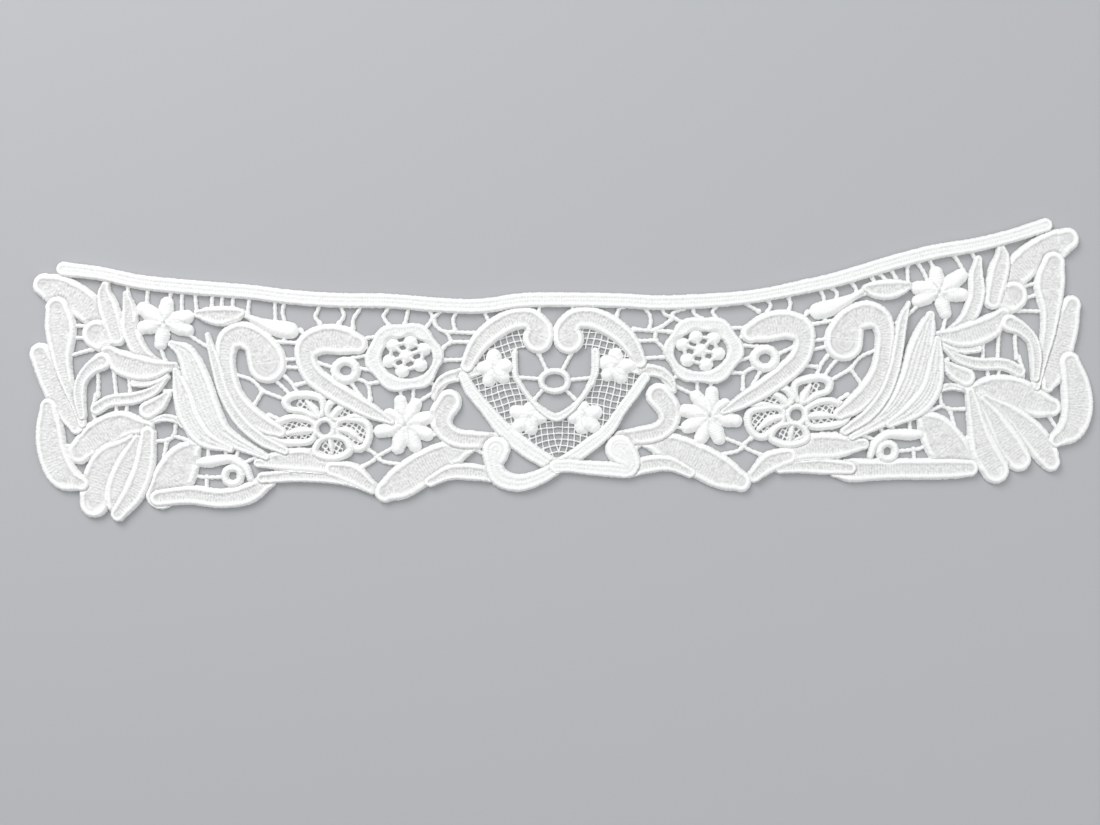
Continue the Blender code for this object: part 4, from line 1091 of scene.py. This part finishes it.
def round_bars(bars, place, width):
    """Spines of bars that swell a little at their ends and along them."""
    out = []
    for number, bar in enumerate(bars):
        bar = smooth([(px, py, 1.0) for px, py in bar], place, BAR_STEP)
        share = np.linspace(0, 1, len(bar))
        ends = np.maximum(eased(1 - share / END_SHARE), eased(1 - (1 - share) / END_SHARE))
        knots = np.sin(math.tau * (share * len(bar) * BAR_STEP / KNOT_PITCH + 0.37 * number))
        bar[:, 2] = 0.5 * width * (1 + END_SWELL * ends + KNOT_SWELL * knots)
        out.append(bar)
    return out


class LACE_OT_ground(bpy.types.Operator):
    """Work the bars, the nets of the pinwheels and the flat stitching under the motifs"""

    bl_idname = "lace.ground"
    bl_label = "Bars and ground"

    def execute(self, context):
        settings = context.scene.lace_collar
        width = settings.bar_width / MM
        bar_top = settings.bar_height / MM
        carried = [s for side in SIDES.values() for group in side.values() for s in group]
        carried += CENTRE["neckband"] + CENTRE["heart_border"]
        x, y = grid_round(carried, SHEET_CELL)
        value = field(carried, x, y)[0] - SHEET_INSET
        shells = [flat_shell(without_specks(value, x, y), x, y, SHEET_TOP)]
        for place in (laid, mirrored):
            bars = round_bars(BARS, place, width)
            if place is laid:
                bars += round_bars(NECK_BARS, laid, width)
            x, y = grid_round(bars, BAR_CELL)
            inside, half, run, off = field(bars, x, y)
            inside = inside + BAR_WAVER * grain(x, y, EDGE_SPOT, 2)
            rise = np.clip(inside / half, 0, 1)
            height = SHEET_TOP + (bar_top - SHEET_TOP) * dome(rise)
            value = without_specks(inside, x, y, FINE_SPECK)
            shells.append(shell(value, x, y, (height, 0 * x, run, off)))
            nets = [smooth(rows, place) for rows in WHEEL_NETS]
            x, y = grid_round(nets, WHEEL_CELL)
            middle = place(*WHEEL_RING[:2])
            hole = np.hypot(x - middle[0], y - middle[1]) - WHEEL_RING[2] * MM_PER_PX
            region = np.minimum(field(nets, x, y)[0], hole)
            threads = net(x, y, WHEEL_PITCH, WHEEL_THREAD, WHEEL_TURN)
            inside = np.minimum(region, threads)
            rise = np.clip(threads / (0.5 * WHEEL_THREAD), 0, 1)
            height = SHEET_TOP + WHEEL_RISE * dome(rise)
            value = without_specks(inside, x, y, FINE_SPECK)
            shells.append(shell(value, x, y, (height, 0 * x, x, y)))
        make_piece("lace_ground_thread", shells, "ground_cotton", "lace_ground")
        return {"FINISHED"}


class LACE_OT_heart_net(bpy.types.Operator):
    """Net the inside of the heart, with the opening and its spokes"""

    bl_idname = "lace.heart_net"
    bl_label = "Heart net"

    def execute(self, context):
        settings = context.scene.lace_collar
        edge = [laid(*p) for p in HEART_EDGE]
        low = np.min(edge, axis=0) - 1
        high = np.max(edge, axis=0) + 1
        x, y = np.meshgrid(
            np.arange(low[0], high[0], NET_CELL), np.arange(low[1], high[1], NET_CELL), indexing="ij")
        heart = polygon_field(edge, x, y)
        opening = polygon_field([laid(*p) for p in OPENING], x, y)
        threads = net(np.abs(x), y, settings.net_pitch / MM, settings.net_thread / MM, -NET_TURN)
        threads = threads + NET_WAVER * grain(x, y, 0.5, 9)
        spoke = field(round_bars(SPOKES, laid, settings.bar_width / MM), x, y)
        inside = np.minimum(heart, np.maximum(np.minimum(threads, -opening), spoke[0]))
        rise = np.clip(threads / (0.5 * settings.net_thread / MM), 0, 1)
        thread_top = SHEET_TOP + NET_RISE * dome(rise)
        rise = np.clip(spoke[0] / spoke[1], 0, 1)
        spoke_top = SHEET_TOP + SPOKE_RISE * dome(rise)
        height = np.maximum(thread_top, spoke_top)
        layers = (height, 0 * x, x + y, x - y)
        value = without_specks(inside, x, y, FINE_SPECK)
        make_piece("heart_panel_net", [shell(value, x, y, layers)], "net_cotton", "heart_panel")
        return {"FINISHED"}


def group_operator(idname, label, about, keys):
    """An operator that works a group of like motifs."""

    def execute(self, context):
        for key in keys:
            if key in CENTRE:
                stitched(key)
            else:
                stitched(key, "left")
                stitched(key, "right")
        return {"FINISHED"}

    return type(
        "LACE_OT_" + idname, (bpy.types.Operator,),
        {"bl_idname": "lace." + idname, "bl_label": label, "__doc__": about, "execute": execute})


GROUPS = [
    group_operator("neckband", "Neckband", "Work the braid of the neck edge", ["neckband"]),
    group_operator("heart", "Heart trim", "Work the border, band and ring of the heart",
                   ["heart_ring", "heart_inner_band", "heart_border", "heart_scroll"]),
    group_operator("crosses", "Heart crosses", "Work the padded crosses on the net", list(CROSSES)),
    group_operator("roses", "Roses", "Work the roses, their beads and the rings",
                   ["rose_beads", "rose", "ring"]),
    group_operator("flowers", "Flowers", "Work the padded flowers", ["star_flower", "daisy", "pinwheel"]),
    group_operator("scrolls", "Scrolls", "Work the scrolls and curls",
                   ["inner_scroll", "hook_scroll", "side_curl", "small_curl", "end_curl"]),
    group_operator("leaves", "Leaves", "Work the leaves and sprays",
                   ["bar_leaf", "feather", "almond_leaf", "club_leaf", "bud_sprays", "leaf_a", "leaf_b",
                    "leaf_c", "end_fan", "bell_leaf"]),
    group_operator("borders", "Borders", "Work the lower border", ["border_a", "border_b"]),
]


class LACE_OT_stage(bpy.types.Operator):
    """Lay the floor, hang the lights and set the camera over the collar"""

    bl_idname = "lace.stage"
    bl_label = "Stage"

    def execute(self, context):
        settings = context.scene.lace_collar
        bpy.ops.object.select_all(action="DESELECT")
        bpy.ops.mesh.primitive_plane_add(size=6.0, location=(0, 0, -0.0002))
        floor = context.object
        floor.name = "floor"
        bpy.ops.object.transform_apply(location=True, rotation=True, scale=True)
        shader = Shader("floor_paint")
        place = shader.node("ShaderNodeTexCoord", output=3)
        mottle = shader.node("ShaderNodeTexNoise", Vector=place, Scale=40.0, Detail=2.0)
        colour = shader.node(
            "ShaderNodeMix", {"data_type": "RGBA"}, output=2, _0=mottle * 0.15,
            _6=tuple(settings.floor), _7=tuple(0.96 * c for c in settings.floor))
        shader.link(colour, "Base Color")
        shader.surface.inputs["Roughness"].default_value = 0.9
        floor.data.materials.append(shader.material)

        world = bpy.data.worlds.new("studio")
        context.scene.world = world
        context.scene.view_settings.view_transform = "Standard"
        world.use_nodes = True
        world.node_tree.nodes["Background"].inputs["Color"].default_value = (0.95, 0.97, 1.0, 1)
        world.node_tree.nodes["Background"].inputs["Strength"].default_value = 0.62
        for name, place, size, power in (
            ("key", (-0.45, 0.75, 0.75), 0.6, 9.8),
            ("fill", (0.7, -0.3, 0.9), 1.0, 3.6),
        ):
            light = bpy.data.lights.new(name, "AREA")
            light.size = size
            light.energy = power
            lamp = bpy.data.objects.new(name, light)
            context.scene.collection.objects.link(lamp)
            lamp.location = place
            lamp.rotation_euler = (-Vector(place)).to_track_quat("-Z", "Y").to_euler()

        data = bpy.data.cameras.new("camera")
        data.lens = 50.0
        data.sensor_width = 36.0
        camera = bpy.data.objects.new("camera", data)
        context.scene.collection.objects.link(camera)
        px, py = laid(PICTURE[0] / 2, PICTURE[1] / 2)
        far = PICTURE[0] * MM_PER_PX * MM * data.lens / data.sensor_width
        camera.location = ((px + SHIFT[0]) * MM, (py + SHIFT[1]) * MM, far + 0.0015)
        camera.rotation_euler = (0.0, 0.0, -TILT)
        data.clip_start = 0.01
        context.scene.camera = camera
        return {"FINISHED"}


class LACE_PT_panel(bpy.types.Panel):
    """The collar's pieces"""

    bl_idname = "LACE_PT_panel"
    bl_label = "Lace Collar"
    bl_space_type = "VIEW_3D"
    bl_region_type = "UI"
    bl_category = "Lace Collar"

    def draw(self, context):
        settings = context.scene.lace_collar
        for name in settings.bl_rna.properties.keys():
            if name not in ("rna_type", "name"):
                self.layout.prop(settings, name)
        for operator in (LACE_OT_ground, LACE_OT_heart_net, *GROUPS, LACE_OT_stage):
            self.layout.operator(operator.bl_idname)


CLASSES = (CollarSettings, LACE_OT_ground, LACE_OT_heart_net, *GROUPS, LACE_OT_stage, LACE_PT_panel)


def register():
    for item in CLASSES:
        bpy.utils.register_class(item)
    bpy.types.Scene.lace_collar = PointerProperty(type=CollarSettings)


def unregister():
    del bpy.types.Scene.lace_collar
    for item in reversed(CLASSES):
        bpy.utils.unregister_class(item)


def main():
    register()
    bpy.ops.lace.ground()
    bpy.ops.lace.heart_net()
    for operator in GROUPS:
        getattr(bpy.ops.lace, operator.bl_idname.split(".")[1])()
    bpy.ops.lace.stage()


if __name__ == "__main__":
    main()
